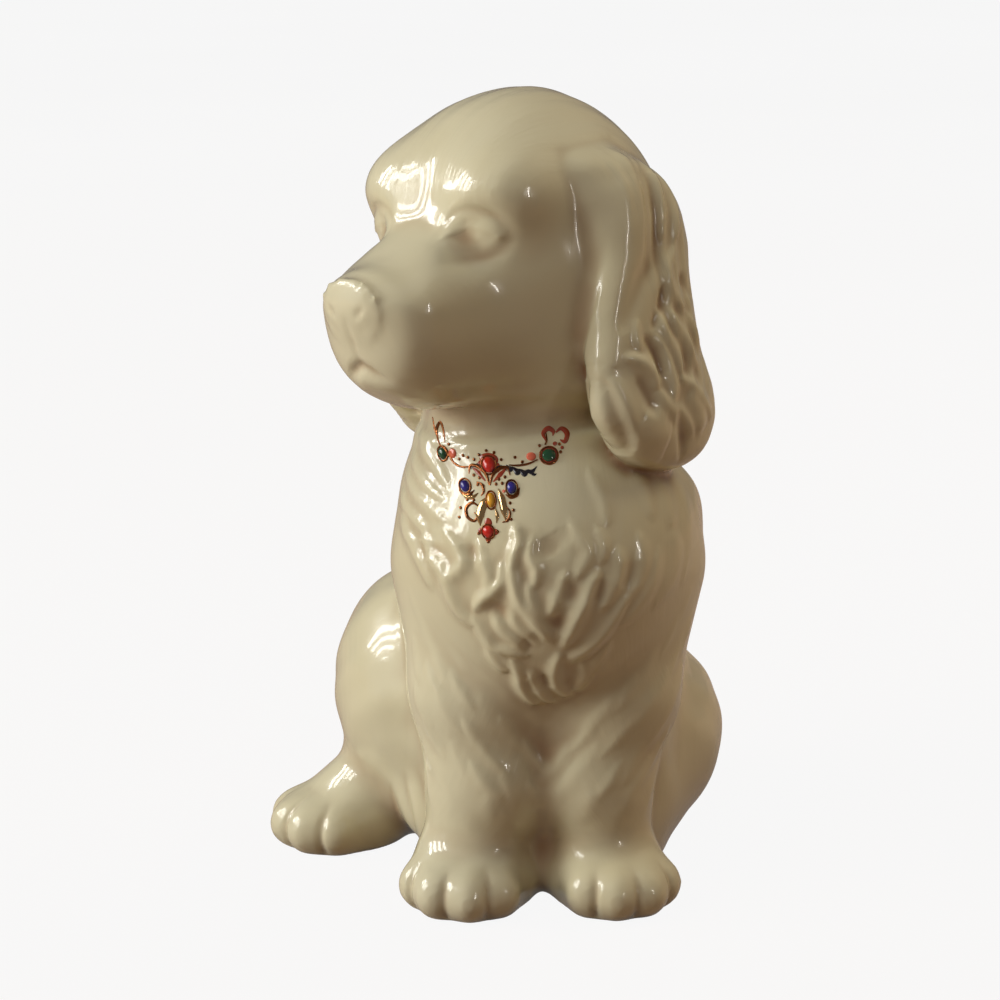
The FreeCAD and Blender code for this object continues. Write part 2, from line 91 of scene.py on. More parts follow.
def stack(points, origin, axes, rows, power):
    """Distance to a smooth form through a column of ovals."""
    q = (points - np.asarray(origin, float)) @ np.asarray(axes, float).T
    table, least = np.asarray(rows, float), 0.02
    fine = np.linspace(table[0, 0], table[-1, 0], 160)
    centre = smooth_curve(table[:, 0], table[:, 1:3], fine)
    reach = np.maximum(smooth_curve(table[:, 0], table[:, 3:6]**2, fine), 0.0)
    t = np.clip(q[..., 2], table[0, 0], table[-1, 0])

    def here(values):
        return np.interp(t, fine, values)

    x, y = q[..., 0] - here(centre[:, 0]), q[..., 1] - here(centre[:, 1])
    rx = np.sqrt(here(reach[:, 0])) + least
    ry = np.sqrt(np.where(y < 0, here(reach[:, 1]), here(reach[:, 2]))) + least
    k0 = (np.abs(x / rx)**power + np.abs(y / ry)**power)**(1 / power)
    round_k = np.sqrt((x / rx)**2 + (y / ry)**2) + 1e-9
    k1 = np.sqrt((x / rx**2)**2 + (y / ry**2)**2) + 1e-9
    steep = here(np.abs(np.gradient(np.sqrt(reach.mean(axis=1)), fine)))
    d = (k0 - 1) * round_k / k1 / np.sqrt(1 + np.maximum(steep - 1, 0)**2)
    over = np.abs(q[..., 2] - t)
    return np.where(over > 0, np.sqrt(np.maximum(d, 0)**2 + over**2), d)


def joined(a, b, fillet):
    """Two forms as one, with a soft fillet between them."""
    h = np.maximum(fillet - np.abs(a - b), 0) / fillet
    return np.minimum(a, b) - h * h * fillet * 0.25


def carved(a, b, fillet):
    """What two forms share, with a soft edge."""
    return -joined(-a, -b, fillet)


def body(points):
    return joined(stack(points, (0, 0, 0), upright, body_rows, 2.2),
                  ball(points, ruff_middle, ruff_radii), 10)


def ridges(chart, lines):
    """Height of soft ridges on a flat chart. A line is its half width, its rise, which is
    negative for a groove, and the places that it bends through."""
    height, sunk = np.zeros(len(chart)), np.zeros(len(chart))
    for half, rise, places in lines:
        places = np.asarray(places, float)
        reach = 3 * half
        near = np.flatnonzero(((chart > places.min(axis=0) - reach)
                               & (chart < places.max(axis=0) + reach)).all(axis=1))
        if not len(near):
            continue
        bend = smooth_curve(np.arange(len(places)), places, np.linspace(0, len(places) - 1, 8 * len(places)))
        away = np.linalg.norm(chart[near][:, None, :] - bend[None], axis=2)
        at = away.argmin(axis=1)
        along = at / (len(bend) - 1)
        width = half * (0.45 + 0.55 * np.sin(math.pi * along) ** 0.6)
        swell = rise * (0.35 + 0.65 * np.sin(math.pi * along) ** 0.5)
        own = swell * np.exp(-(away[np.arange(len(near)), at] / width) ** 2)
        if rise < 0:
            sunk[near] += own
        else:
            height[near] = (height[near] ** 3 + own ** 3) ** (1 / 3)
    return height + sunk


def fading(value, start, end):
    """Smooth step from 0 at start to 1 at end."""
    t = np.clip((value - start) / (end - start), 0, 1)
    return t * t * (3 - 2 * t)


ruff_lines = [  # half width, rise and the bends of each lock, across and up the chest
    (1.5, 1.25, [(-22.7, 72.3), (-21.5, 69.1), (-18.8, 66.3), (-17.6, 62.7), (-16.1, 59.9), (-13.4, 57.7)]),
    (1.4, 1.0, [(-18.8, 73.9), (-16.5, 71.5), (-15.5, 69.1), (-17.6, 66.3), (-19.2, 64.1)]),
    (1.3, 0.8, [(-26.5, 74), (-26.2, 71.5), (-24.6, 69.1), (-23.2, 66.5), (-21.5, 63)]),
    (1.4, 1.0, [(-13.8, 59.5), (-11.8, 56.3), (-9.9, 53.9), (-7.2, 53.3), (-4.5, 52.5)]),
    (1.3, 1.0, [(-8.6, 69.9), (-8.7, 66.7), (-10.3, 64.7), (-12.2, 62.7), (-13.4, 60.8)]),
    (1.5, 1.3, [(-6.6, 71.5), (-6.8, 68), (-5.6, 63.5), (-3.7, 61.1), (-2.1, 58.3), (-0.2, 56.3)]),
    (1.3, 1.1, [(-6.4, 76.3), (-5.6, 73.9), (-6.4, 71.5), (-7.2, 68.5)]),
    (1.3, 1.0, [(-4.1, 66.7), (-3.7, 64.3), (-2.5, 61.1), (-1, 57.5), (0.2, 55.6)]),
    (1.5, 1.1, [(8.3, 68.3), (6.8, 64.7), (5.2, 61.1), (3.3, 57.1), (2.5, 54.7)]),
    (1.3, 0.8, [(2.6, 68.5), (1.8, 65.5), (0.6, 62.7), (-0.6, 60)]),
    (1.3, 0.9, [(-3.3, 74.7), (-3.7, 71.5), (-2.5, 69.1), (-3, 66)]),
    (1.4, 0.55, [(3.7, 77.1), (5.2, 74.7), (6.8, 72.3), (6, 69.9), (4.4, 67.5)]),
    (1.3, 0.8, [(-11.2, 55.9), (-10.3, 52.3), (-8.7, 49.9), (-7.2, 49)]),
    (1.4, 1.1, [(-6.8, 51.9), (-5.6, 48.7), (-4.9, 45.5), (-3.3, 42.7), (-1.8, 41.5)]),
    (1.3, 1.1, [(-3.7, 49.1), (-2.5, 46.3), (-1, 43.5), (0.6, 41.9)]),
    (1.4, 1.1, [(1.7, 52.7), (0.9, 49.9), (0.9, 46.7), (2.5, 44.3), (3.7, 43.5)]),
    (1.3, 0.8, [(5.6, 51), (6.4, 48.4), (5.5, 46), (4.2, 44.6)]),
    (1.4, 0.8, [(14.1, 63.5), (10.2, 57.5), (6.4, 53.5), (3.3, 51.5)]),
    (1.5, 0.7, [(12, 72), (12.6, 68.5), (11, 64.8), (9.2, 61.6)]),
    (1.4, 0.5, [(16, 74), (17, 70), (16, 66), (13.5, 62)]),
    (1.4, 0.5, [(19.5, 70.5), (18.6, 65.5), (16, 61), (12.5, 57.5)]),
    (1.4, 0.35, [(22.5, 73), (23.3, 68.5), (22, 64), (19, 60)]),
    (1.3, 0.6, [(8.2, 76), (9.4, 73), (9, 70)]),
    (1.3, 0.7, [(-12.6, 73), (-12.2, 70.3), (-11, 67.4), (-11.6, 64.4)]),
    (1.2, 0.6, [(10.8, 54.6), (8.4, 51), (6.6, 47.8)]),
    (1.2, 0.75, [(-10.2, 60.6), (-8.6, 57.6), (-6.2, 55.4), (-4.6, 53.6)]),
    (1.1, 0.65, [(-7.4, 62), (-6, 58.8), (-3.8, 56.6), (-2.6, 54.6)]),
    (1.1, 0.55, [(-12.2, 58), (-10.4, 54.6), (-8, 51.6), (-6, 48.6)]),
    (1.2, 0.55, [(-24, 89), (-22.5, 86), (-20.2, 84), (-18.6, 81.6)]),
    (1.2, 0.6, [(-25.8, 86), (-24.6, 83), (-22, 80.5), (-19.6, 79.4)]),
    (1.3, 0.65, [(-26.6, 81.6), (-24.6, 78.8), (-22, 77.4), (-19.4, 75.8)]),
    (1.3, 0.6, [(-27.4, 77.6), (-26.4, 75.4), (-24, 74), (-22.6, 72.6)]),
    (1.3, 0.5, [(13, 88), (16.6, 82), (18.6, 76.4)]),
    (1.3, 0.5, [(17.6, 85), (21, 79), (22.4, 74)]),
    (1.3, 0.45, [(7, 85), (9.6, 80), (10, 76)]),
    (1.2, 0.3, [(22, 83), (24.8, 77), (25.6, 70), (24.4, 63)]),
    (1.2, 0.35, [(25, 86), (27.4, 80), (28.2, 72)]),
    (2.4, -0.55, [(-22.4, 71), (-21.6, 68.4)]),
    (2.6, -0.5, [(-0.8, 75), (1.2, 72)]),
    (2.4, -0.55, [(3.6, 66.8), (2.1, 63.5)]),
    (2.4, -0.55, [(-8.7, 62.8), (-10, 59.6)]),
    (2.2, -0.55, [(2.0, 60.8), (1.0, 57.6)]),
    (2.2, -0.45, [(-14, 72.6), (-13.6, 70)]),
    (2.0, -0.4, [(-4.6, 56), (-2.6, 54.4)]),
    (2.0, -0.5, [(-1.8, 48.2), (-0.8, 45.4)]),
    (2.2, -0.45, [(9.8, 66.8), (8.4, 62.8)]),
    (2.2, -0.4, [(14.4, 69.5), (13.8, 65)]),
]


def body_relief(points):
    """Locks on the ruff, and soft combed fur on the shoulders and back."""
    x, y, z = points.T
    front = fading(-y, 2, 9)
    ruff = ridges(np.column_stack([x, z]), ruff_lines) * front
    turn = np.arctan2(x, -y)
    sway = np.sin(turn * 8 + 0.10 * z + 1.2 * np.sin(z * 0.11 + turn * 3))
    rear = fading(y, -12, 4)
    combed = 0.35 * sway * fading(z, 4, 20) * (0.25 + 0.75 * rear)
    bare = (1 - fading(np.hypot((x + 11) / 14, (z - 84) / 13), 0.8, 1.15)) * front
    under = 0.12 * fading(z, 40, 50) * (1 - 0.6 * bare)
    return ruff + combed * (1 - bare), 26 * np.abs(turn) + 2.5 * np.sin(z * 0.12), z, 0.2 + under + 0.3 * rear


castings["torso"] = (body, 0.1, body_relief)


# Head: a second casting, luted on the neck and turned towards the dog's right. Skull, short
# muzzle, brows and lidded eyes in shallow sockets, all modelled in the clay and unpainted.
turn, tilt, nod = math.radians(45), math.radians(4), math.radians(4)
plain_forward = np.array([-math.sin(turn), -math.cos(turn), 0.0])
plain_side = np.array([math.cos(turn), -math.sin(turn), 0.0])
world_up = np.array([0, 0, 1.0])
head_forward = math.cos(nod) * plain_forward - math.sin(nod) * world_up
nodded_up = math.sin(nod) * plain_forward + math.cos(nod) * world_up
head_side = math.cos(tilt) * plain_side + math.sin(tilt) * nodded_up
head_up = math.cos(tilt) * nodded_up - math.sin(tilt) * plain_side
head_middle = np.array([-4.0, 2.0, 124.0])
face_axes = np.array([head_forward, head_side, head_up])
skull_rows = [  # height, side, forward place, half width, reach back, reach forward
    (-34, 0, 1, 0, 0, 0),
    (-31.5, 0, 1, 15, 10, 13),
    (-27, 0, 1, 21.2, 15, 17.4),
    (-21, 0, 1, 22.8, 20, 18.5),
    (-14, 0, 0, 24.2, 24, 20),
    (-6, 0, 0, 24.6, 25.5, 22),
    (3, 0, 0, 24.5, 25.5, 24),
    (10, 0, 0, 22.8, 23, 24.3),
    (17, -0.4, 0.3, 19.6, 19.2, 21.3),
    (22, -0.6, 0.6, 15, 14.6, 16.2),
    (25.5, -0.6, 0.6, 9.2, 9, 9.8),
    (27.3, 0, 0, 0, 0, 0),
]
muzzle_rows = [  # reach, side, rise, half width, reach down, reach up
    (0, 0, -8, 20, 18, 14),
    (8, 0, -8, 21, 19, 14.5),
    (18, 0, -8, 18.5, 19.5, 14.6),
    (27, 0, -8, 15.6, 18.8, 14.0),
    (34, 0, -7.5, 14.0, 17.8, 10.4),
    (39, 0, -7, 12.6, 15.4, 7.0),
    (42.5, 0, -6.5, 10.0, 12.4, 4.9),
    (44.3, 0, -6.5, 6.4, 8.1, 3.2),
    (45.2, 0, -7, 0, 0, 0),
]
eye_place = (20.3, 12.0, 5.0)
face_lumps = [  # place ahead, sideways and up, radii, and fillet; a hollow's fillet is negative
    ((16.2, 12.2, 11.6), (8, 7.6, 6.2), 9),  # brow
    ((28.2, 15.6, 5.0), (4.2, 5.4, 4.2), -5),  # eye socket
    ((20.8, 6.2, 3.2), (4.2, 3.6, 3.2), 4),  # inner corner of the eye
    (eye_place, (4.0, 4.0, 2.7), 2.2),
]
nose = ((40.5, 0, -4.7), (4.8, 6.4, 4.6), 5.5)


def on_face(points):
    """Points as their places ahead of the head's middle, sideways and up."""
    return (points - head_middle) @ face_axes.T


def head(points):
    d = stack(points, head_middle, (head_side, head_forward, head_up), skull_rows, 2.25)
    d = joined(d, stack(points, head_middle, (head_side, head_up, head_forward), muzzle_rows, 2.4), 7)
    lumps = [((a, side * w, h), radii, fillet) for side in (-1, 1) for (a, w, h), radii, fillet in face_lumps]
    for place, radii, fillet in lumps + [nose]:
        lump = ball(on_face(points), place, radii)
        d = joined(d, lump, fillet) if fillet > 0 else carved(d, -lump, -fillet)
    return d


def head_relief(points):
    """Eyelids, nostrils, mouth and the folds of the lips, with fine fur swept up and back."""
    ahead, side, rise = on_face(points).T
    out = np.abs(side)
    height = np.zeros(len(points))
    facing = fading(ahead, 12, 16)
    u, v = out - eye_place[1], rise - eye_place[2]
    eye = np.hypot(u / 4.1, v / 3.4)
    upper = 0.9 - 0.10 * u * u - 0.12 * u
    lower = -1.7 + 0.09 * u * u
    lid = fading(v, upper - 0.5, upper + 0.4) * (1 - fading(eye, 0.9, 1.4))
    lid += 0.6 * fading(-v, -lower - 0.4, -lower + 0.4) * (1 - fading(eye, 0.9, 1.3))
    height += 0.3 * lid * facing
    arch = 4.4 - 0.085 * u * u - 0.10 * u
    crease = np.exp(-((v - arch) / 0.9) ** 2) * (1 - fading(np.abs(u), 3.6, 6.2))
    height -= 0.2 * crease * facing
    bag = np.exp(-((v + 4.3 - 0.06 * u * u) / 0.9) ** 2) * (1 - fading(np.abs(u), 3.5, 6.5))
    height -= 0.08 * bag * facing
    nostril = np.exp(-((out - 3.6) / 1.1) ** 2 - ((rise + 5.4 - 0.5 * (out - 3.6)) / 0.8) ** 2)
    height -= 0.3 * nostril * fading(ahead, 38, 41)
    alar = np.exp(-((np.hypot(out / 6.9, (rise + 4.2) / 5.2) - 1) * 5.5) ** 2)
    height -= 0.12 * alar * fading(ahead, 34, 39) * fading(-rise, 1.0, 4.0) * fading(out, 1, 4)
    cleft = np.exp(-(side / 0.9) ** 2) * fading(-rise, 5.5, 7.5) * (1 - fading(-rise, 14, 16.5))
    height -= 0.2 * cleft * fading(ahead, 34, 38)
    smile = -15.6 - 0.30 * out - 0.045 * out * out
    mouth = np.exp(-((rise - smile) / 1.15) ** 2) * (1 - fading(out, 1.8, 6.5)) * fading(ahead, 27, 33)
    height -= 0.75 * mouth
    chin = np.exp(-((rise - smile + 2.8) / 1.8) ** 2 - (out / 4.6) ** 2) * fading(ahead, 30, 34)
    height += 0.4 * chin
    jowl = np.exp(-((rise + 24 + 0.1 * (30 - ahead)) / 1.1) ** 2)
    height += 0.4 * jowl * fading(ahead, 12, 22) * fading(38 - ahead, 0, 8) * fading(out, 4, 8)
    stroke = np.sin(1.05 * side + 0.16 * ahead + 1.6 * np.sin(0.12 * ahead + 0.1 * side))
    height += 0.05 * stroke * fading(rise, 8, 16)
    return height, side * 1.1 + 0.0075 * ahead * side, ahead + rise, 0.1 + 0.55 * fading(rise, 6, 15)


castings["head"] = (head, 4.5, head_relief)


# Ears: long flat pendants luted to the sides of the skull, thin at the root and broad at the
# tip. A smooth roll runs down the front edge, and waved locks fill the lower half.
ear_rows = [  # height, forward place, half width, sideways place, half thickness
    (18.5, 2, 0, 15, 0),
    (16, 2, 5.5, 18.5, 4),
    (11, -1.2, 9.3, 21.5, 5),
    (4.5, -3.2, 10.8, 23.5, 5),
    (-2, -3.7, 11.1, 24.5, 4.8),
    (-8, -2.4, 11.2, 25.5, 4.8),
    (-15, -1.2, 12.0, 26.3, 5),
    (-22, 0.1, 13.4, 27, 5.2),
    (-30, -0.5, 14.6, 27.5, 5.5),
    (-36, -2.6, 12.2, 27.3, 5.2),
    (-40.5, -3.8, 7.9, 27, 4.2),
    (-43.2, -5, 0, 26.5, 0),
]


def ear(side):
    rows = [(-h, a, side * w, half, thick, thick) for h, a, half, w, thick in ear_rows]
    return lambda points: stack(points, head_middle, (head_forward, head_side, -head_up), rows, 2.5)


ear_lines = [  # half width, rise and the bends of each lock, forward and up the ear
    (3.8, 1.2, [(-1.5, 16.8), (-1.2, 14.2), (0.5, 9.2), (2, 3.5), (4, -2.2), (7.2, -8), (9.8, -13),
                (11.2, -16.8), (12.6, -20.2)]),
    (2.2, -0.8, [(-4.5, 11.8), (-4.5, 8.5), (-4.2, 2.5), (-1.8, -3.2), (2.8, -6.8), (6.2, -11),
                 (8.4, -14.2)]),
    (1.2, 0.7, [(-7.5, 11), (-6.5, 7), (-5.8, 3.5), (-5, -0.5)]),
    (1.2, 0.7, [(-10.4, 9.5), (-11.4, 5.8), (-10, 2), (-8.5, -1.2)]),
    (1.2, 0.8, [(-7.2, -2.8), (-5, -6), (-5, -9.8), (-6.8, -13.5)]),
    (1.4, 1.0, [(-0.2, -12.4), (-0.8, -16.5), (-2.5, -21), (-3, -24.6)]),
    (1.4, 1.0, [(-3.2, -13.4), (-5, -17.2), (-6.8, -21), (-8.2, -24.4)]),
    (1.2, 0.7, [(-8, -14.6), (-9.5, -18.2), (-10.5, -21.6)]),
    (1.2, 0.7, [(5.2, -13), (6, -16.2), (5.8, -18.8)]),
    (1.5, 1.0, [(9.4, -19), (6.4, -20.3), (4.2, -22.8), (3.6, -26)]),
    (1.4, 0.9, [(1.2, -16.8), (-0.2, -22), (-0.6, -26), (0.2, -29)]),
    (1.5, 0.9, [(-2.5, -25), (-5.5, -27.2), (-8.2, -30.5), (-10.6, -34.2)]),
    (1.6, 0.7, [(3.8, -25.8), (1.5, -29.2), (-2.4, -32.8), (-4.8, -36)]),
    (1.9, 0.7, [(12, -22.5), (10.6, -28.5), (7.4, -35.5)]),
    (4.6, 0.9, [(7.6, -30), (4.6, -34), (1.4, -35)]),
    (2.2, 0.8, [(-4.5, -28), (-6.8, -32), (-7, -36)]),
    (1.3, -0.9, [(13.2, -23), (12.2, -29.5), (8.8, -36.6)]),
    (1.3, -0.8, [(-0.8, -31), (-2.5, -35.5), (-2.5, -40.5)]),
    (1.2, -0.7, [(-3, -8.8), (-1, -12.2), (1.8, -15)]),
    (1.2, -0.7, [(4, -16.5), (2, -20.2), (1.8, -24)]),
    (1.2, -0.6, [(-8, -7.5), (-11, -12.2)]),
    (1.4, -0.6, [(7.5, -23.2), (5.8, -27), (5, -30)]),
]


def ear_relief(points):
    """The roll, the waved locks and fine combing, fading out towards the hidden face."""
    ahead, side, rise = on_face(points).T
    waves = ridges(np.column_stack([ahead, rise]), ear_lines)
    behind = fading(1.5 - ahead + 0.15 * rise, -2, 3)
    comb_wave = np.sin(2.0 * ahead + 0.25 * rise + 1.3 * np.sin(0.2 * rise))
    combed = 0.14 * comb_wave * behind * (1 - fading(-rise, 24, 32))
    edges = np.array(ear_rows)[::-1]
    rear = np.interp(rise, edges[:, 0], edges[:, 1] - edges[:, 2])
    outer = fading(np.abs(side), 17, 25) * (0.25 + 0.75 * fading(ahead - rear, 0.5, 4.5))
    outer *= fading(19 - rise, 0, 7)
    return ((waves + combed) * outer, ahead + 0.8 * np.sin(0.24 * rise), rise,
            0.15 + 0.65 * behind * (1 - fading(-rise, 22, 32)))


for side, name in ((-1, "ear_right"), (1, "ear_left")):
    castings[name] = (ear(side), 3.5, ear_relief)


# Forelegs: two posts from the shoulders to low rounded paws with four toes each. The clay
# between them was never cut away, so a groove parts them down to a small arch at the feet.
foreleg_places = {  # shoulder, knee, wrist and ankle
    -1: [(-16, -4, 62), (-13, -10, 40), (-10.6, -12, 24), (-13.8, -13, 10)],
    1: [(16, -4, 62), (11.8, -10, 40), (8.6, -12, 24), (10.6, -13, 10)],
}
foreleg_radii = {-1: (13, 12.1, 11.3, 10), 1: (13, 12, 10.6, 9.2)}
paw_heading, paw_reach, paw_shift = {-1: 18, 1: -20}, {-1: 12.6, 1: 11.6}, {-1: 0, 1: 0.6}
web_places = [(-1.2, -9, 10), (-1, -9.5, 22), (-0.8, -10.5, 36)]
toe_count, toe_size, toe_spread = 4, 5.4, 108  # the spread of a paw's toes is in degrees


def limb(points, places, radii):
    """Distance to a smooth tapering tube along a line of places."""
    d = None
    for a, b, ra, rb in zip(places[:-1], places[1:], radii[:-1], radii[1:]):
        a, b = np.asarray(a, float), np.asarray(b, float)
        t = np.clip(((points - a) @ (b - a)) / ((b - a) @ (b - a)), 0, 1)
        e = np.linalg.norm(points - a - t[..., None] * (b - a), axis=-1) - (ra + t * (rb - ra))
        d = e if d is None else joined(d, e, 0.5 * min(ra, rb))
    return d


def paw(points, place, heading, reach, height=9):
    """A low pad with a fan of rounded toes."""
    x, y = place
    d = ball(points, (x, y, height * 0.45), (reach * 0.95, reach, height * 0.95))
    for i in range(toe_count):
        angle = math.radians(heading + toe_spread * ((i + 0.5) / toe_count - 0.5))
        dx, dy = -math.sin(angle), -math.cos(angle)
        out = reach * (0.74 if i in (0, toe_count - 1) else 0.86)
        toe = ball(points, (x + dx * out, y + dy * out, toe_size * 0.92),
                   (toe_size * 1.25, toe_size * 0.9, toe_size), [[dx, dy, 0], [-dy, dx, 0], [0, 0, 1]])
        d = joined(d, toe, 2.8)
    return d


def foreleg(side):
    pad = (foreleg_places[side][-1][0] + paw_shift[side], -14.2)

    def form(points):
        d = limb(points, foreleg_places[side], foreleg_radii[side])
        if side < 0:
            d = joined(d, limb(points, web_places, (8.4, 8.2, 8)), 4)
        return joined(d, paw(points, pad, paw_heading[side], paw_reach[side]), 5)

    return form


def toe_grooves(points, place, heading, length):
    """Grooves between the toes that run up over the paw."""
    dx, dy = points[:, 0] - place[0], points[:, 1] - place[1]
    distance = np.hypot(dx, dy)
    angle = np.degrees(np.arctan2(-dx, -dy)) - heading
    angle = (angle + 180) % 360 - 180
    depth = np.zeros(len(points))
    for i in range(1, toe_count):
        off = distance * np.radians(angle - toe_spread * (i / toe_count - 0.5))
        depth += np.exp(-(off / 0.75) ** 2)
    return depth * fading(distance, 2.5, 6) * (1 - fading(points[:, 2], length * 0.6, length))


chance = np.random.default_rng(7)
leg_lines = {}
for side in (-1, 1):
    leg_lines[side] = []
    for row in range(11):
        for place in range(5):
            u = -12 + 6 * (place + 0.5 * (row % 2)) + chance.uniform(-1, 1)
            z = 60 - 4.4 * row + chance.uniform(-1, 1)
            lean = -side * chance.uniform(2.0, 4.0)
            leg_lines[side].append((chance.uniform(0.9, 1.5), chance.uniform(0.18, 0.36),
                                    [(u, z), (u + 0.35 * lean, z - 3.4), (u + lean, z - 7.4)]))


def foreleg_relief(side):
    ankle = foreleg_places[side][-1][0]
    middles, heights = [[p[axis] for p in foreleg_places[side][::-1]] for axis in (0, 2)]

    def relief(points):
        x, y, z = points.T
        centre = np.interp(z, heights, middles)
        round_leg = 12 * np.arctan2(x - centre, -(y + 8))
        fur = ridges(np.column_stack([round_leg, z]), leg_lines[side]) * fading(z, 14, 24)
        grooves = toe_grooves(points, (ankle, -12.2), paw_heading[side], 11)
        return (fur * (1 - fading(z, 58, 66)) - 0.55 * grooves,
                round_leg + 0.42 * side * z, z, 0.2 + 0.25 * fading(z, 12, 22))

    return relief


for side, name in ((-1, "foreleg_right"), (1, "foreleg_left")):
    castings[name] = (foreleg(side), 4, foreleg_relief(side))


# Haunches: smooth rounded shells over the hips, the right one high beside its splayed paw and
# the left one lower behind the foreleg.
def haunch_relief(points):
    x, y, z = points.T
    return 0.12 * np.sin(0.5 * y + 0.4 * z + np.sin(0.2 * z)), y + 0.3 * z, z, 0.12 + 0 * x


for name, *shape in (("haunch_right", (-23.5, 22, 31), (18.5, 24, 24)),
                     ("haunch_left", (17, 25.5, 20.2), (18.8, 22.5, 20.2))):
    castings[name] = (lambda points, shape=shape: ball(points, *shape), 6, haunch_relief)


# Hind paws: the right one splayed beside its haunch, the left one tucked in beneath the belly,
# where only its fluted edge shows behind the right foreleg.
def hind_paw_right(points):
    hock = limb(points, [(-23, 30, 8), (-30, 20, 12), (-35, 17, 9)], (11, 10, 9.5))
    return joined(hock, paw(points, (-39.5, 17.5), 50, 11.4, 10), 4)


def hind_paw_right_relief(points):
    x, y, z = points.T
    return -0.55 * toe_grooves(points, (-37.5, 19), 50, 12), x - y, z, 0.25 + 0 * x


def hind_paw_left(points):
    return ball(points, (-21, 6, 12.6), (7.2, 8.5, 9.3))


def hind_paw_left_relief(points):
    x, y, z = points.T
    flutes = np.abs(np.sin(math.pi * (x + 21 + 0.15 * z) / 3.6)) - 0.5
    return 0.6 * flutes * fading(z, 1, 4), x, z, 0.2 + 0 * x


castings["hind_paw_right"] = (hind_paw_right, 4, hind_paw_right_relief)
castings["hind_paw_left"] = (hind_paw_left, 3, hind_paw_left_relief)


# Tail: a short furred rope of clay laid round the seat behind the left haunch, out of sight
# from the front.
tail_places = [(-5.2, 48.8, 12.8), (1.2, 52.8, 8.3), (9, 54.4, 6.9), (16, 52.5, 6.1), (20, 48.8, 5.1),
               (22, 46.2, 4.5)]
tail_radii = (8, 7.5, 6.9, 5.8, 4, 1.5)


def tail(points):
    return limb(points, tail_places, tail_radii)


def tail_relief(points):
    x, y, z = points.T
    return 0.45 * np.abs(np.sin(1.1 * z + 0.35 * x)) - 0.2, z, x, 0.8 + 0 * x


castings["tail"] = (tail, 5, tail_relief)


# China: the castings are one skin of glazed clay. The skin is found on a grid, smoothed, carved
# with each casting's own relief, and parted along the seams where the castings were luted.
grid_step = 1.05
room_margin, grid_margin, far_away, seam_width = 12, 4, 60.0, 2.2
seam_order = ["torso", "foreleg_right", "foreleg_left", "hind_paw_left", "haunch_right", "haunch_left",
              "hind_paw_right", "tail", "head", "ear_right", "ear_left"]
rooms = {}
for name in seam_order:
    corners = np.array([list(corner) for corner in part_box(name)]) * 1000 - body_axis
    rooms[name] = (corners[0] - room_margin, corners[1] + room_margin)


def distances(points):
    """Distance of every casting, with a far value where a casting's room ends."""
    table = {}
    for name in seam_order:
        d = np.full(len(points), far_away)
        start, end = rooms[name]
        inside = np.flatnonzero(((points > start) & (points < end)).all(axis=1))
        if len(inside):
            d[inside] = castings[name][0](points[inside])
        table[name] = d
    return table


def figure(points):
    """Distance to the whole joined figure, cut flat where it stands."""
    d = None
    for name, own in distances(points).items():
        d = own if d is None else joined(d, own, castings[name][1])
    return carved(d, -points[:, 2], 0.6)


def slopes(points, reach=0.15):
    """Distance and outward direction at points near the skin."""
    d = figure(points)
    g = np.stack([figure(points + reach * axis) - d for axis in np.eye(3)], axis=1)
    change = np.linalg.norm(g, axis=1, keepdims=True)
    return d / np.maximum(change[:, 0] / reach, 0.7), g / np.maximum(change, 1e-9)


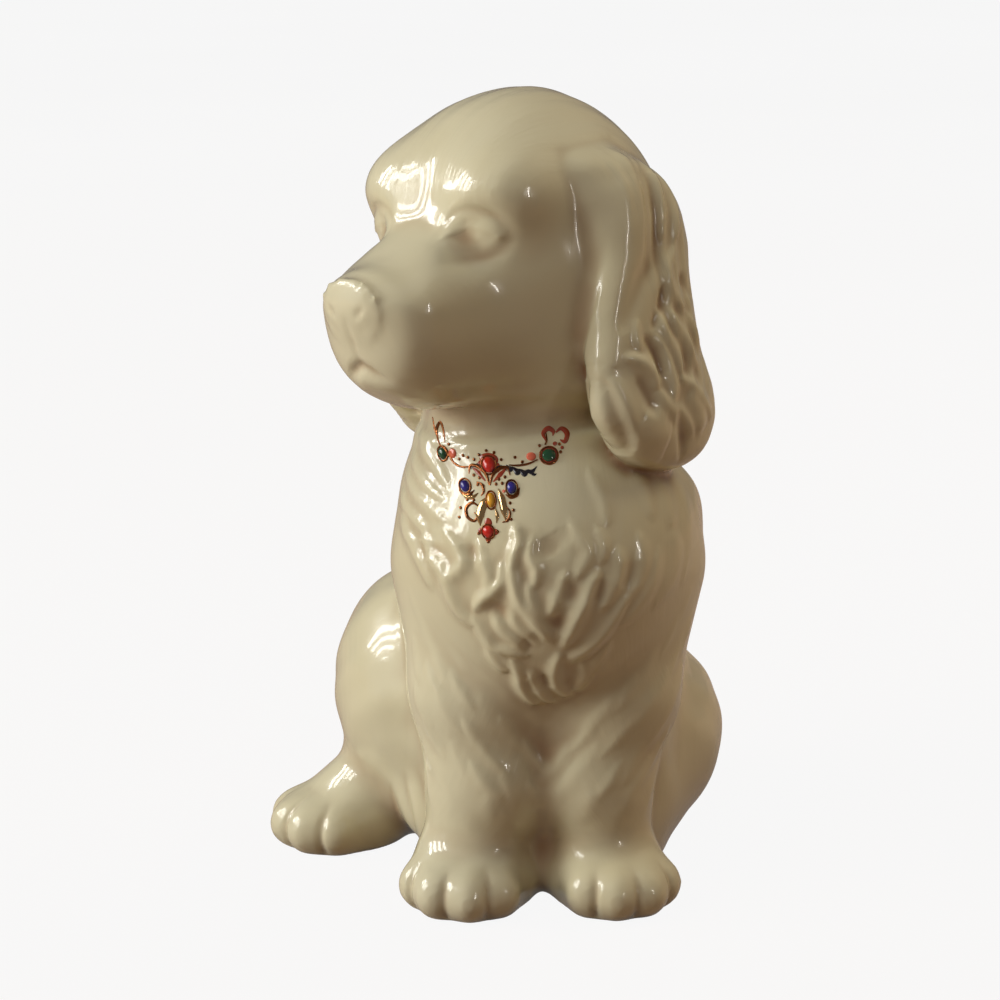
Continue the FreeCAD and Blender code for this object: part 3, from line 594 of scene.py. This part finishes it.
def skin(step):
    """Points and four-sided faces of the figure's skin, on a grid of cells."""
    spare = room_margin - grid_margin
    lowest = np.min([start for start, end in rooms.values()], axis=0) + spare
    lowest[2] = -2 * step
    highest = np.max([end for start, end in rooms.values()], axis=0) - spare
    size = np.ceil((highest - lowest) / (2 * step)).astype(int) + 1
    axes_at = [lowest[i] + 2 * step * np.arange(size[i]) for i in range(3)]
    fine = figure(np.stack(np.meshgrid(*axes_at, indexing="ij"), -1).reshape(-1, 3)).reshape(size)
    for axis in range(3):
        fine = np.moveaxis(fine, axis, 0)
        doubled = np.empty((2 * fine.shape[0] - 1,) + fine.shape[1:])
        doubled[::2], doubled[1::2] = fine, (fine[:-1] + fine[1:]) / 2
        fine = np.moveaxis(doubled, 0, axis)
    near = np.abs(fine) < 2.6 * step
    fine[near] = figure(lowest + step * np.argwhere(near))
    solid = fine < 0
    cells = tuple(n - 1 for n in fine.shape)
    count = np.zeros(cells, np.int8)
    window = [slice(0, -1), slice(1, None)]
    for i, j, k in np.ndindex(2, 2, 2):
        count += solid[window[i], window[j], window[k]]
    active = (count > 0) & (count < 8)
    number = np.full(cells, -1)
    number[active] = np.arange(active.sum())
    cell = np.argwhere(active)
    total, hits = np.zeros((len(cell), 3)), np.zeros(len(cell))
    for axis in range(3):
        others = [i for i in range(3) if i != axis]
        for corner in np.ndindex(2, 2):
            start = cell.copy()
            start[:, others] += corner
            end = start.copy()
            end[:, axis] += 1
            a, b = fine[tuple(start.T)], fine[tuple(end.T)]
            crosses = (a < 0) != (b < 0)
            spot = start.astype(float)
            spot[:, axis] += np.where(crosses, a / np.where(crosses, a - b, 1), 0)
            total[crosses] += spot[crosses]
            hits += crosses
    points = lowest + step * total / hits[:, None]
    faces = []
    for axis in range(3):
        others = [i for i in range(3) if i != axis]
        along = np.moveaxis(solid, axis, 0)
        edge = np.argwhere(np.moveaxis(along[:-1] != along[1:], 0, axis))
        edge = edge[((edge[:, others] > 0) & (edge[:, others] < np.take(cells, others))).all(axis=1)]
        ring = []
        for corner in ((0, 0), (1, 0), (1, 1), (0, 1)):
            c = edge.copy()
            c[:, others] -= corner
            ring.append(number[tuple(c.T)])
        quad = np.stack(ring, axis=1)
        inward = solid[tuple(edge.T)]
        if axis == 1:
            inward = ~inward
        quad[~inward] = quad[~inward][:, ::-1]
        faces.append(quad)
    return points, np.concatenate(faces)


points, faces = skin(grid_step)
for _ in range(2):
    d, outward = slopes(points)
    points = points - outward * np.clip(d, -0.6, 0.6)[:, None]


def placed(name, data):
    """A new object of the scene."""
    item = bpy.data.objects.new(name, data)
    bpy.context.scene.collection.objects.link(item)
    return item


def sheet_of(name, points, faces):
    """A mesh object in metres from points in millimetres about the body's axis."""
    mesh = bpy.data.meshes.new(name)
    mesh.from_pydata(((points + body_axis) / 1000).tolist(), [], faces)
    mesh.update()
    return placed(name, mesh)


def read_out(items, key, values):
    """A mesh's own list of values as an array."""
    items.foreach_get(key, values.ravel())
    return values


raw = sheet_of("raw_clay", points, faces.tolist())
finer = raw.modifiers.new("finer", "SUBSURF")
finer.levels = finer.render_levels = 1
fired = bpy.data.meshes.new_from_object(raw.evaluated_get(bpy.context.evaluated_depsgraph_get()))
bpy.data.objects.remove(raw)
points = read_out(fired.vertices, "co", np.zeros((len(fired.vertices), 3))) * 1000 - body_axis
normals = read_out(fired.vertices, "normal", np.zeros((len(fired.vertices), 3)))
faces = read_out(fired.loops, "vertex_index", np.zeros((len(fired.polygons), 4), np.int32))

table = distances(points)
stacked = np.stack([table[name] for name in seam_order], axis=1)
nearest = stacked.min(axis=1, keepdims=True)
share = np.clip(1 - (stacked - nearest) / seam_width, 0, 1)
share = share / share.sum(axis=1, keepdims=True)
height = np.zeros(len(points))
comb = np.zeros((len(points), 3))
for index, name in enumerate(seam_order):
    touched = np.flatnonzero(share[:, index] > 0.01)
    rise, across, along, strength = castings[name][2](points[touched])
    part = share[touched, index]
    height[touched] += part * rise
    main = part > 0.5
    comb[touched[main]] = np.column_stack([across, along, strength * (2 * part - 1)])[main]
height *= fading(points[:, 2], 0.2, 1.5)
points = points + normals * height[:, None]
points[:, 2] = np.maximum(points[:, 2], 0)


def spread(values, rounds):
    """Values averaged with their neighbours' on the skin."""
    for _ in range(rounds):
        total = values.copy()
        for column in range(values.shape[1]):
            for here, there in ((edge_a, edge_b), (edge_b, edge_a)):
                total[:, column] += np.bincount(here, values[there, column], len(values))
        values = total / neighbours[:, None]
    return values


pairs = np.concatenate([faces[:, [i, (i + 1) % 4]] for i in range(4)])
edge_a, edge_b = np.unique(np.sort(pairs, axis=1), axis=0).T
neighbours = 1 + np.bincount(edge_a, minlength=len(points)) + np.bincount(edge_b, minlength=len(points))
crossed = np.cross(points[faces[:, 2]] - points[faces[:, 0]], points[faces[:, 3]] - points[faces[:, 1]])
normals = np.stack([sum(np.bincount(faces[:, i], crossed[:, axis], len(points)) for i in range(4))
                    for axis in range(3)], axis=1)
normals /= np.maximum(np.linalg.norm(normals, axis=1, keepdims=True), 1e-9)
# Painted shade: how deep each point lies in a crease or a broad dip, which the glaze turns into a tan
# darkening where shade falls.
hollow = np.zeros(len(points))
for rounds, full_depth, amount in ((10, 0.22, 0.42), (60, 1.0, 0.75)):  # creases, then broad dips
    sunk = ((spread(points, rounds) - points) * normals).sum(axis=1)
    hollow += np.clip(sunk / full_depth, 0, 1) * amount
hollow = np.clip(spread(hollow[:, None], 2)[:, 0], 0, 1)
owner = stacked[faces].mean(axis=1).argmin(axis=1)


class Wire:
    """A shader socket that Python's own signs work on; each sign adds its Math node."""

    def __init__(self, tree, socket):
        self.tree, self.socket = tree, socket

    def node(self, kind, inputs=None, output=None, **settings):
        """The wire from a new node, by the names of its inputs, its output and its settings."""
        made = self.tree.nodes.new(kind)
        for key, value in settings.items():
            setattr(made, key, value)
        for key, value in (inputs or {}).items():
            target = [s for s in made.inputs if s.enabled and key in (s.name, s.identifier)][0]
            if isinstance(value, Wire):
                self.tree.links.new(value.socket, target)
            else:
                target.default_value = value
        return Wire(self.tree, [s for s in made.outputs if s.enabled and output in (None, s.name)][0])

    def beside(self, output):
        """The wire from another output of the same node."""
        return Wire(self.tree, self.socket.node.outputs[output])

    def sign(self, operation, first, second):
        return self.node("ShaderNodeMath", {"Value": first, "Value_001": second}, operation=operation)

    def __add__(self, other):
        return self.sign("ADD", self, other)

    def __mul__(self, other):
        return self.sign("MULTIPLY", self, other)

    def __sub__(self, other):
        return self.sign("SUBTRACT", self, other)

    def __rsub__(self, other):
        return self.sign("SUBTRACT", other, self)

    __radd__, __rmul__ = __add__, __mul__


def finish_named(name, group=bpy.data.materials):
    """A new material or world, and a first wire to add its nodes with."""
    made = group.new(name)
    made.use_nodes = True
    made.node_tree.nodes.clear()
    return made, Wire(made.node_tree, None)


def shade(made, shader, output="ShaderNodeOutputMaterial"):
    out = made.node_tree.nodes.new(output)
    made.node_tree.links.new(shader.socket, out.inputs["Surface"])
    return made


def mottle(start, scale, detail):
    """Soft noise that stays with the piece."""
    place = start.node("ShaderNodeTexCoord", output="Object")
    return start.node("ShaderNodeTexNoise", {"Vector": place, "Scale": scale, "Detail": detail})


def blend(amount, one, other):
    """A colour between two, by a wire that says how far."""
    return amount.node("ShaderNodeMix", {"Factor": amount, "A": one, "B": other}, data_type="RGBA")


def colour(red, green, blue):
    """A colour as it is written in a picture, in the shader's own linear scale."""
    shares = [c / 255 for c in (red, green, blue)]
    return (*(c / 12.92 if c <= 0.04045 else ((c + 0.055) / 1.055) ** 2.4 for c in shares), 1.0)


ivory = colour(208, 201, 171)
warm_ivory = colour(198, 188, 152)
painted_shade_tan = colour(132, 88, 48)
glaze, start = finish_named("ivory_glaze")
cloud = start.node("ShaderNodeMapRange",
                   {"Value": mottle(start, 28.0, 2.0), "From Min": 0.35, "From Max": 0.65})
shadow = start.node("ShaderNodeAttribute", attribute_name="hollow", output="Fac")
# Painted shade: the hollow attribute blends the ivory towards tan in creases and broad dips, darkening them
# as shade would.
colour_with_painted_shade = blend(shadow * 0.85, blend(cloud * 0.5, ivory, warm_ivory), painted_shade_tan)
combed_at = start.node("ShaderNodeAttribute", attribute_name="comb", output="Vector")
across_comb = start.node("ShaderNodeSeparateXYZ", {"Vector": combed_at}, output="X")
stretched = start.node("ShaderNodeCombineXYZ", {"X": across_comb * 0.9, "Y": across_comb.beside("Y") * 0.13})
hair = start.node("ShaderNodeTexNoise", {"Vector": stretched, "Scale": 1.0, "Detail": 2.0})
relief = hair * across_comb.beside("Z") * 0.5 + mottle(start, 110.0, 1.0) * 0.12
bump = start.node("ShaderNodeBump", {"Height": relief, "Strength": 0.5, "Distance": 0.0006})
shade(glaze, start.node("ShaderNodeBsdfPrincipled", {
    "Base Color": colour_with_painted_shade, "Roughness": 0.16 + cloud * 0.05, "Normal": bump,
    "IOR": 1.52, "Coat Weight": 0.6, "Coat Roughness": 0.04}))

for index, name in enumerate(seam_order):
    used, mine = np.unique(faces[owner == index], return_inverse=True)
    piece = sheet_of(name + "_china", points[used], mine.reshape(-1, 4).tolist())
    mesh = piece.data
    mesh.shade_smooth()
    mesh.normals_split_custom_set_from_vertices(normals[used].tolist())
    for label, kind, key, values in (("hollow", "FLOAT", "value", hollow),
                                     ("comb", "FLOAT_VECTOR", "vector", comb)):
        kept = mesh.attributes.new(label, kind, "POINT")
        kept.data.foreach_set(key, values[used].astype(np.float32).ravel())
    mesh.materials.append(glaze)
    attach(piece, "root")
    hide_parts(name)


# Enamels: drops of coloured glass fused on the chest as a necklace: two rubies, two sapphires,
# two emeralds, one topaz and small coral ovals. Places are across and up the chest.
chest_room = np.flatnonzero((points[:, 1] < -8) & (normals[:, 1] < -0.2) & (points[:, 0] > -34)
                            & (points[:, 0] < 14) & (points[:, 2] > 66) & (points[:, 2] < 100))
chest_points, chest_normals = points[chest_room], normals[chest_room]


def laid(places, rise):
    """Points on the chest's own skin at places across and up it, lifted by their rise."""
    places, rise = np.asarray(places, float), np.asarray(rise, float)
    away = ((places[:, None, :] - chest_points[None][:, :, [0, 2]]) ** 2).sum(axis=2)
    close = np.argpartition(away, 5, axis=1)[:, :5]
    weight = 1 / (np.take_along_axis(away, close, 1) + 0.02)
    weight /= weight.sum(axis=1, keepdims=True)
    out = (chest_normals[close] * weight[..., None]).sum(axis=1)
    depth = (chest_points[close][..., 1] * weight).sum(axis=1)
    lean = ((places[:, None, :] - chest_points[close][..., [0, 2]]) * weight[..., None]).sum(axis=1)
    depth -= (lean[:, 0] * out[:, 0] + lean[:, 1] * out[:, 2]) / np.minimum(out[:, 1], -0.3)
    return np.column_stack([places[:, 0], depth, places[:, 1]]) + out * rise[:, None]


def dome(across, up, half_across, half_up, rise, rings=6, sides=20):
    """A fused drop: its points on the chest and its faces."""
    places, lift, quads, rim_sinks = [(across, up)], [rise], [], 0.12
    for ring in range(1, rings + 1):
        r = ring / rings
        for i in range(sides):
            a = 2 * math.pi * i / sides
            places.append((across + half_across * r * math.cos(a), up + half_up * r * math.sin(a)))
            lift.append(rise * math.sqrt(1 - r * r) ** 0.9 - rim_sinks * (ring == rings))
    for i in range(sides):
        quads.append((0, 1 + i, 1 + (i + 1) % sides))
        for ring in range(rings - 1):
            a, b = 1 + ring * sides, 1 + (ring + 1) * sides
            quads.append((a + i, b + i, b + (i + 1) % sides, a + (i + 1) % sides))
    return laid(places, lift), quads


def trail(bends, widths, rise, crest=0.0):
    """A raised stroke of gilding along a bent line, with its half width at each bend."""
    bends = np.asarray(bends, float)
    steps = np.linspace(0, len(bends) - 1, 10 * len(bends))
    line = smooth_curve(np.arange(len(bends)), bends, steps)
    half = np.interp(steps, np.arange(len(bends)), widths)
    ahead = np.gradient(line, axis=0)
    ahead /= np.maximum(np.linalg.norm(ahead, axis=1, keepdims=True), 1e-9)
    sideways = np.column_stack([-ahead[:, 1], ahead[:, 0]])
    places, lift, rim_sinks = [], [], 0.06
    sections = np.linspace(-1, 1, 7)
    for k in sections:
        places.append(line + sideways * (half * k)[:, None])
        lift.append(rise * np.sqrt(1 - k * k) * half / half.max()
                    + crest * (abs(k) < 0.1) - rim_sinks * (abs(k) == 1))
    number = len(steps)
    quads = [(r * number + i, r * number + i + 1, (r + 1) * number + i + 1, (r + 1) * number + i)
             for r in range(len(sections) - 1) for i in range(number - 1)]
    return laid(np.vstack(places), np.concatenate(lift)), quads


finishes = {}


def fused_on(name, parts, slot, node):
    """One piece of the necklace from its parts, in place of its plain solid."""
    gathered, quads = [], []
    for part_points, part_faces in parts:
        offset = sum(len(p) for p in gathered)
        gathered.append(part_points)
        quads += [tuple(offset + i for i in face) for face in part_faces]
    piece = sheet_of(name, np.vstack(gathered), quads)
    piece.data.shade_smooth()
    piece.data.materials.append(finishes[slot])
    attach(piece, "root")
    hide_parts(node)


def enamel_finish(slot, shallow, deep):
    """Coloured glass for a slot, unevenly deep in colour."""
    made, start = finish_named(slot)
    swirl = mottle(start, 900.0, 2.0)
    finishes[slot] = shade(made, start.node("ShaderNodeBsdfPrincipled", {
        "Base Color": blend(swirl, colour(*shallow), colour(*deep)), "Roughness": 0.08 + swirl * 0.06,
        "IOR": 1.55, "Coat Weight": 0.5, "Coat Roughness": 0.03}))


enamel_finish("enamel_ruby", (222, 52, 34), (150, 14, 16))
enamel_finish("enamel_sapphire", (52, 50, 150), (26, 22, 84))
enamel_finish("enamel_emerald", (34, 92, 58), (12, 48, 30))
enamel_finish("enamel_topaz", (226, 170, 50), (176, 112, 24))
enamel_finish("enamel_coral", (226, 120, 90), (196, 84, 62))
drop_rise = 0.75
for node, slot, *outline in (
        ("ruby_enamel_top", "enamel_ruby", -11.0, 85.8, 1.15, 1.3),
        ("ruby_enamel_drop", "enamel_ruby", -11.1, 75.1, 1.0, 1.05),
        ("sapphire_enamel_right", "enamel_sapphire", -15.3, 82.0, 0.85, 0.95),
        ("sapphire_enamel_left", "enamel_sapphire", -6.9, 82.5, 0.85, 1.0),
        ("emerald_enamel_right", "enamel_emerald", -19.4, 86.5, 0.75, 1.05),
        ("emerald_enamel_left", "enamel_emerald", -0.2, 87.7, 1.35, 1.15),
        ("topaz_enamel", "enamel_topaz", -10.6, 80.3, 0.75, 1.25)):
    fused_on(node + "_drop", [dome(*outline, drop_rise)], slot, node)
coral_drops = [dome(*drop) for drop in (
    (-17.6, 86.9, 0.75, 0.9, 0.3), (-3.4, 87.5, 0.95, 0.75, 0.3),
    (-12.4, 84.9, 0.3, 0.3, 0.2), (-8.3, 81.9, 0.3, 0.3, 0.2))]
fused_on("coral_drops", coral_drops, "enamel_coral", "coral_enamels")


# Painted enamel: flat dark red and coral shapes under the drops, a black serrated leaf on the
# left of the top ruby, and the coral scroll over the left emerald.
coral_painted = [
    dome(-11.0, 86.7, 1.9, 1.2, 0.16), dome(-12.4, 85.6, 0.8, 0.9, 0.15), dome(-9.6, 85.5, 0.8, 0.9, 0.15),
    dome(-0.2, 87.7, 2.0, 1.75, 0.16),
    trail([(-0.7, 90.1), (-1.2, 91.2), (-0.3, 92.0), (0.6, 91.5), (0.5, 90.8)],
          [0.2, 0.42, 0.5, 0.4, 0.1], 0.2),
    trail([(1.0, 91.3), (2.1, 91.9), (3.1, 91.1), (2.7, 89.9), (1.8, 90.2)],
          [0.15, 0.4, 0.55, 0.45, 0.12], 0.2),
    dome(0.9, 89.6, 0.45, 0.4, 0.16), dome(2.2, 88.9, 0.35, 0.32, 0.15),
    dome(-11.1, 76.6, 0.75, 0.9, 0.16), dome(-11.1, 74.0, 0.6, 0.7, 0.15),
    dome(-12.3, 75.1, 0.7, 0.6, 0.15), dome(-9.9, 75.2, 0.7, 0.6, 0.15),
    trail([(-13.9, 85.0), (-12.9, 84.4), (-11.6, 83.2)], [0.2, 0.45, 0.15], 0.12),
    trail([(-8.0, 85.3), (-9.0, 84.4), (-10.2, 83.2)], [0.2, 0.45, 0.15], 0.12),
]
enamel_finish("coral_paint", (166, 68, 42), (120, 40, 24))
fused_on("coral_shapes", coral_painted, "coral_paint", "coral_scrolls")
enamel_finish("dark_enamel", (24, 24, 40), (10, 10, 18))
leaf_line = [(-7.9, 86.0), (-7.2, 85.4), (-6.6, 85.5), (-5.9, 85.0), (-5.3, 85.2), (-4.6, 84.8),
             (-4.0, 85.2), (-3.3, 85.1), (-2.3, 86.0)]
serrated = [trail(leaf_line, [0.1, 0.55, 0.3, 0.62, 0.32, 0.6, 0.3, 0.45, 0.05], 0.2),
            trail([(-3.9, 85.4), (-3.0, 84.7), (-2.4, 84.8)], [0.15, 0.3, 0.05], 0.18),
            trail([(-14.3, 84.8), (-13.1, 85.6), (-11.9, 84.9), (-11.3, 83.6)], [0.05, 0.26, 0.3, 0.08], 0.2),
            trail([(-7.6, 85.0), (-8.8, 85.7), (-10.1, 84.9), (-10.7, 83.6)], [0.05, 0.26, 0.3, 0.08], 0.2)]
fused_on("serrated_leaf", serrated, "dark_enamel", "acanthus_leaf")


# Gilding: raised gold, burnt on with a fine brush: a collar, mounts round the drops, twin
# ram's horns, C scrolls, bright leaves and rows of dots.
def gilt_finish(slot, bright, worn, rough):
    made, start = finish_named(slot)
    wear = mottle(start, 1400.0, 3.0)
    lumps = start.node("ShaderNodeBump", {"Height": wear, "Strength": 0.3, "Distance": 0.0001})
    finishes[slot] = shade(made, start.node("ShaderNodeBsdfPrincipled", {
        "Base Color": blend(wear, colour(*bright), colour(*worn)), "Metallic": 1.0,
        "Roughness": rough + wear * 0.12, "Normal": lumps}))


gilt_finish("burnished_gold", (188, 120, 72), (84, 48, 28), 0.18)
gilt_finish("pale_gold", (238, 214, 160), (206, 160, 104), 0.12)


def mount(across, up, half_across, half_up):
    """A thin gold ring round a drop."""
    turns = np.linspace(0.5 * math.pi, 2.5 * math.pi, 13)
    ring = [(across + half_across * math.cos(a), up + half_up * math.sin(a)) for a in turns]
    return trail(ring, [0.17] * len(turns), 0.26)


mounts = [mount(*outline) for outline in (
    (-11.0, 85.8, 1.35, 1.5), (-11.1, 75.1, 1.15, 1.2), (-15.3, 82.0, 1.05, 1.15), (-6.9, 82.5, 1.05, 1.2),
    (-19.4, 86.5, 0.95, 1.25), (-0.2, 87.7, 1.6, 1.4), (-10.6, 80.3, 0.9, 1.45))]
fused_on("gold_mount_rings", mounts, "burnished_gold", "gold_mounts")
horn_widths = [0.1, 0.3, 0.34, 0.3, 0.15]
horns = [
    trail([(-14.6, 84.0), (-14.3, 85.3), (-12.9, 85.3), (-11.5, 84.2), (-10.9, 82.6)], horn_widths, 0.24),
    trail([(-7.2, 84.4), (-7.6, 85.5), (-9.0, 85.4), (-10.3, 84.2), (-10.8, 82.6)], horn_widths, 0.24),
    trail([(-13.2, 82.9), (-12.3, 82.6), (-11.9, 81.6), (-12.4, 80.8)], [0.12, 0.28, 0.26, 0.1], 0.22),
    trail([(-12.6, 79.0), (-13.9, 79.5), (-15.0, 78.6), (-14.9, 77.2), (-13.7, 76.6), (-13.0, 77.4),
           (-13.6, 78.0)], [0.12, 0.3, 0.36, 0.34, 0.28, 0.2, 0.1], 0.26),
    trail([(-20.3, 88.5), (-20.6, 90.0), (-19.9, 91.6), (-19.3, 90.2), (-19.0, 88.4)],
          [0.12, 0.28, 0.24, 0.2, 0.1], 0.24),
    trail([(-16.4, 81.2), (-15.4, 80.6), (-14.3, 80.9), (-13.6, 81.6)], [0.12, 0.32, 0.32, 0.1], 0.24),
    trail([(-8.0, 81.4), (-7.0, 81.0), (-5.9, 81.5), (-5.5, 82.6)], [0.12, 0.3, 0.3, 0.1], 0.24),
    trail([(-0.9, 89.4), (-0.6, 90.2), (-0.7, 91.3)], [0.15, 0.2, 0.1], 0.3),
    trail([(-7.9, 79.6), (-7.2, 78.6), (-7.6, 77.3), (-8.6, 76.9)], [0.1, 0.24, 0.26, 0.1], 0.22),
]
fused_on("gold_horns", horns, "burnished_gold", "gold_scrolls")
leaves = [
    trail([(-10.9, 80.9), (-11.9, 79.6), (-12.6, 77.6), (-12.5, 75.9)], [0.12, 0.8, 0.85, 0.1], 0.32, 0.12),
    trail([(-9.3, 82.2), (-8.7, 80.7), (-8.3, 78.9), (-7.9, 77.1)], [0.12, 0.75, 0.7, 0.1], 0.32, 0.12),
    trail([(-15.9, 80.9), (-15.0, 80.3), (-13.8, 80.5), (-12.9, 81.2)], [0.08, 0.42, 0.4, 0.08], 0.26, 0.1),
    trail([(-9.9, 79.3), (-9.5, 77.9), (-9.6, 76.7)], [0.08, 0.4, 0.08], 0.26, 0.1),
]
fused_on("pale_gold_leaves", leaves, "pale_gold", "gold_leaves")
dots = [dome(across, up, 0.34, 0.34, 0.2, rings=3, sides=10) for across, up in (
    (-13.7, 86.4), (-12.8, 87.3), (-11.5, 88.1), (-10.1, 87.9), (-8.8, 86.8), (-6.3, 87.3), (-5.0, 86.6),
    (-16.4, 86.1), (-15.7, 86.8), (-14.8, 86.6), (-13.7, 83.9), (-12.7, 83.6), (-13.0, 82.5), (-12.0, 82.4),
    (-9.2, 83.7), (-8.1, 84.1), (-9.7, 82.9), (-8.6, 83.1), (-13.7, 80.0), (-14.9, 79.9), (-16.1, 78.4),
    (-16.3, 76.8), (-7.2, 80.1), (-6.6, 79.0), (-7.0, 77.5), (-12.8, 74.6), (-9.4, 75.3), (-11.1, 73.4),
    (-18.3, 88.3), (1.9, 88.2), (-1.9, 89.3), (1.7, 89.5))]
fused_on("gold_dot_rows", dots, "burnished_gold", "gold_dots")
collar = [
    trail([(-20.0, 87.9), (-18.6, 86.9), (-17.4, 85.4), (-16.0, 84.9), (-14.2, 85.2)],
          [0.14, 0.22, 0.24, 0.22, 0.14], 0.2),
    trail([(-21.4, 92.0), (-20.9, 90.0), (-20.0, 87.9)], [0.1, 0.18, 0.14], 0.2),
    trail([(-7.4, 86.0), (-5.8, 86.0), (-4.0, 86.3), (-2.2, 87.0)], [0.12, 0.2, 0.2, 0.12], 0.2),
]
fused_on("gold_collar_line", collar, "burnished_gold", "gold_collar")


# Stage: a plain pale floor and a white surround. A tall window of four panes on the left gives
# the glints, soft lamps stand for the walls, the sky and the room, and a narrow gap of light
# on the right edges the glaze.
stage_floor, start = finish_named("pale_floor")
camera_ray = start.node("ShaderNodeLightPath", output="Is Camera Ray")
seen_white = camera_ray * 0.93 + camera_ray.beside("Is Glossy Ray") * 0.14
speck = start.node("ShaderNodeTexNoise", {"Scale": 40.0, "Detail": 2.0})
matt = start.node("ShaderNodeBsdfDiffuse", {"Color": colour(150, 122, 92), "Roughness": 0.5})
glow = start.node("ShaderNodeEmission", {"Color": (1, 1, 1, 1), "Strength": 1.0})
shade(stage_floor, start.node("ShaderNodeMixShader", {
    "Fac": seen_white * (1 - speck * 0.02), "Shader": matt, "Shader_001": glow}))
floor_corners = 9000 * np.array([(-1, -1, 0), (1, -1, 0), (1, 1, 0), (-1, 1, 0)])
floor = sheet_of("floor", floor_corners - body_axis, [(0, 1, 2, 3)])
floor.data.materials.append(stage_floor)

world, air = finish_named("surround", bpy.data.worlds)
bpy.context.scene.world = world
camera_ray = air.node("ShaderNodeLightPath", output="Is Camera Ray")
seen_white = camera_ray + camera_ray.beside("Is Glossy Ray") * 0.12
dim = air.node("ShaderNodeBackground", {"Color": colour(176, 110, 70), "Strength": 0.08})
white = air.node("ShaderNodeBackground", {"Color": (1, 1, 1, 1), "Strength": 1.0})
shade(world, air.node("ShaderNodeMixShader", {"Fac": seen_white, "Shader": dim, "Shader_001": white}),
      "ShaderNodeOutputWorld")
middle = Vector((float(body_axis[0]) / 1000 - 0.009, float(body_axis[1]) / 1000, 0.074))


def window(name, offset, width, height, power, tint):
    """A soft rectangular light at a place counted from the figure's middle, facing it."""
    lamp = bpy.data.lights.new(name, "AREA")
    lamp.shape = "RECTANGLE"
    lamp.size, lamp.size_y, lamp.energy, lamp.color = width, height, power, tint
    item = placed(name, lamp)
    item.location = middle + Vector(offset)
    item.rotation_euler = (-Vector(offset)).to_track_quat("-Z", "Y").to_euler()
    return item


for index, back in enumerate((-0.27, -0.09, 0.09, 0.27)):
    pane = window(f"window_pane_{index}", (-0.80, back, 0.42), 0.08, 0.40, 1.2, (1.0, 1.0, 0.98))
    pane.visible_diffuse = False
for name, offset, size, power, tint in (
        ("wall_left", (-0.96, -0.15, 0.16), 0.5, 8.4, (1.0, 1.0, 0.97)),
        ("sky_left", (-0.54, -0.46, 0.71), 0.5, 3.8, (1.0, 0.99, 0.96)),
        ("ceiling", (0.0, -0.1, 1.0), 0.5, 1.5, (1.0, 1.0, 0.97)),
        ("room_right", (0.66, 0.24, 0.71), 0.5, 3.5, (1.0, 0.88, 0.64)),
        ("floor_right", (0.92, 0.33, 0.15), 0.5, 1.2, (1.0, 0.62, 0.40))):
    window(name, offset, size, size, power, tint).visible_glossy = False
window("gap_right", (0.55, -0.62, 0.22), 0.012, 0.26, 0.35, (1.0, 0.96, 0.90))

camera = placed("camera", bpy.data.cameras.new("camera"))
camera_reach, camera_rise, lens_over_sensor = 0.520, math.radians(14), 2.757
camera.location = middle + camera_reach * Vector((0, -math.cos(camera_rise), math.sin(camera_rise)))
camera.rotation_euler = (math.pi / 2 - camera_rise, 0, 0)
camera.data.sensor_width = 36
camera.data.lens = 36 * lens_over_sensor
bpy.context.scene.camera = camera
bpy.context.scene.view_settings.view_transform = "Standard"
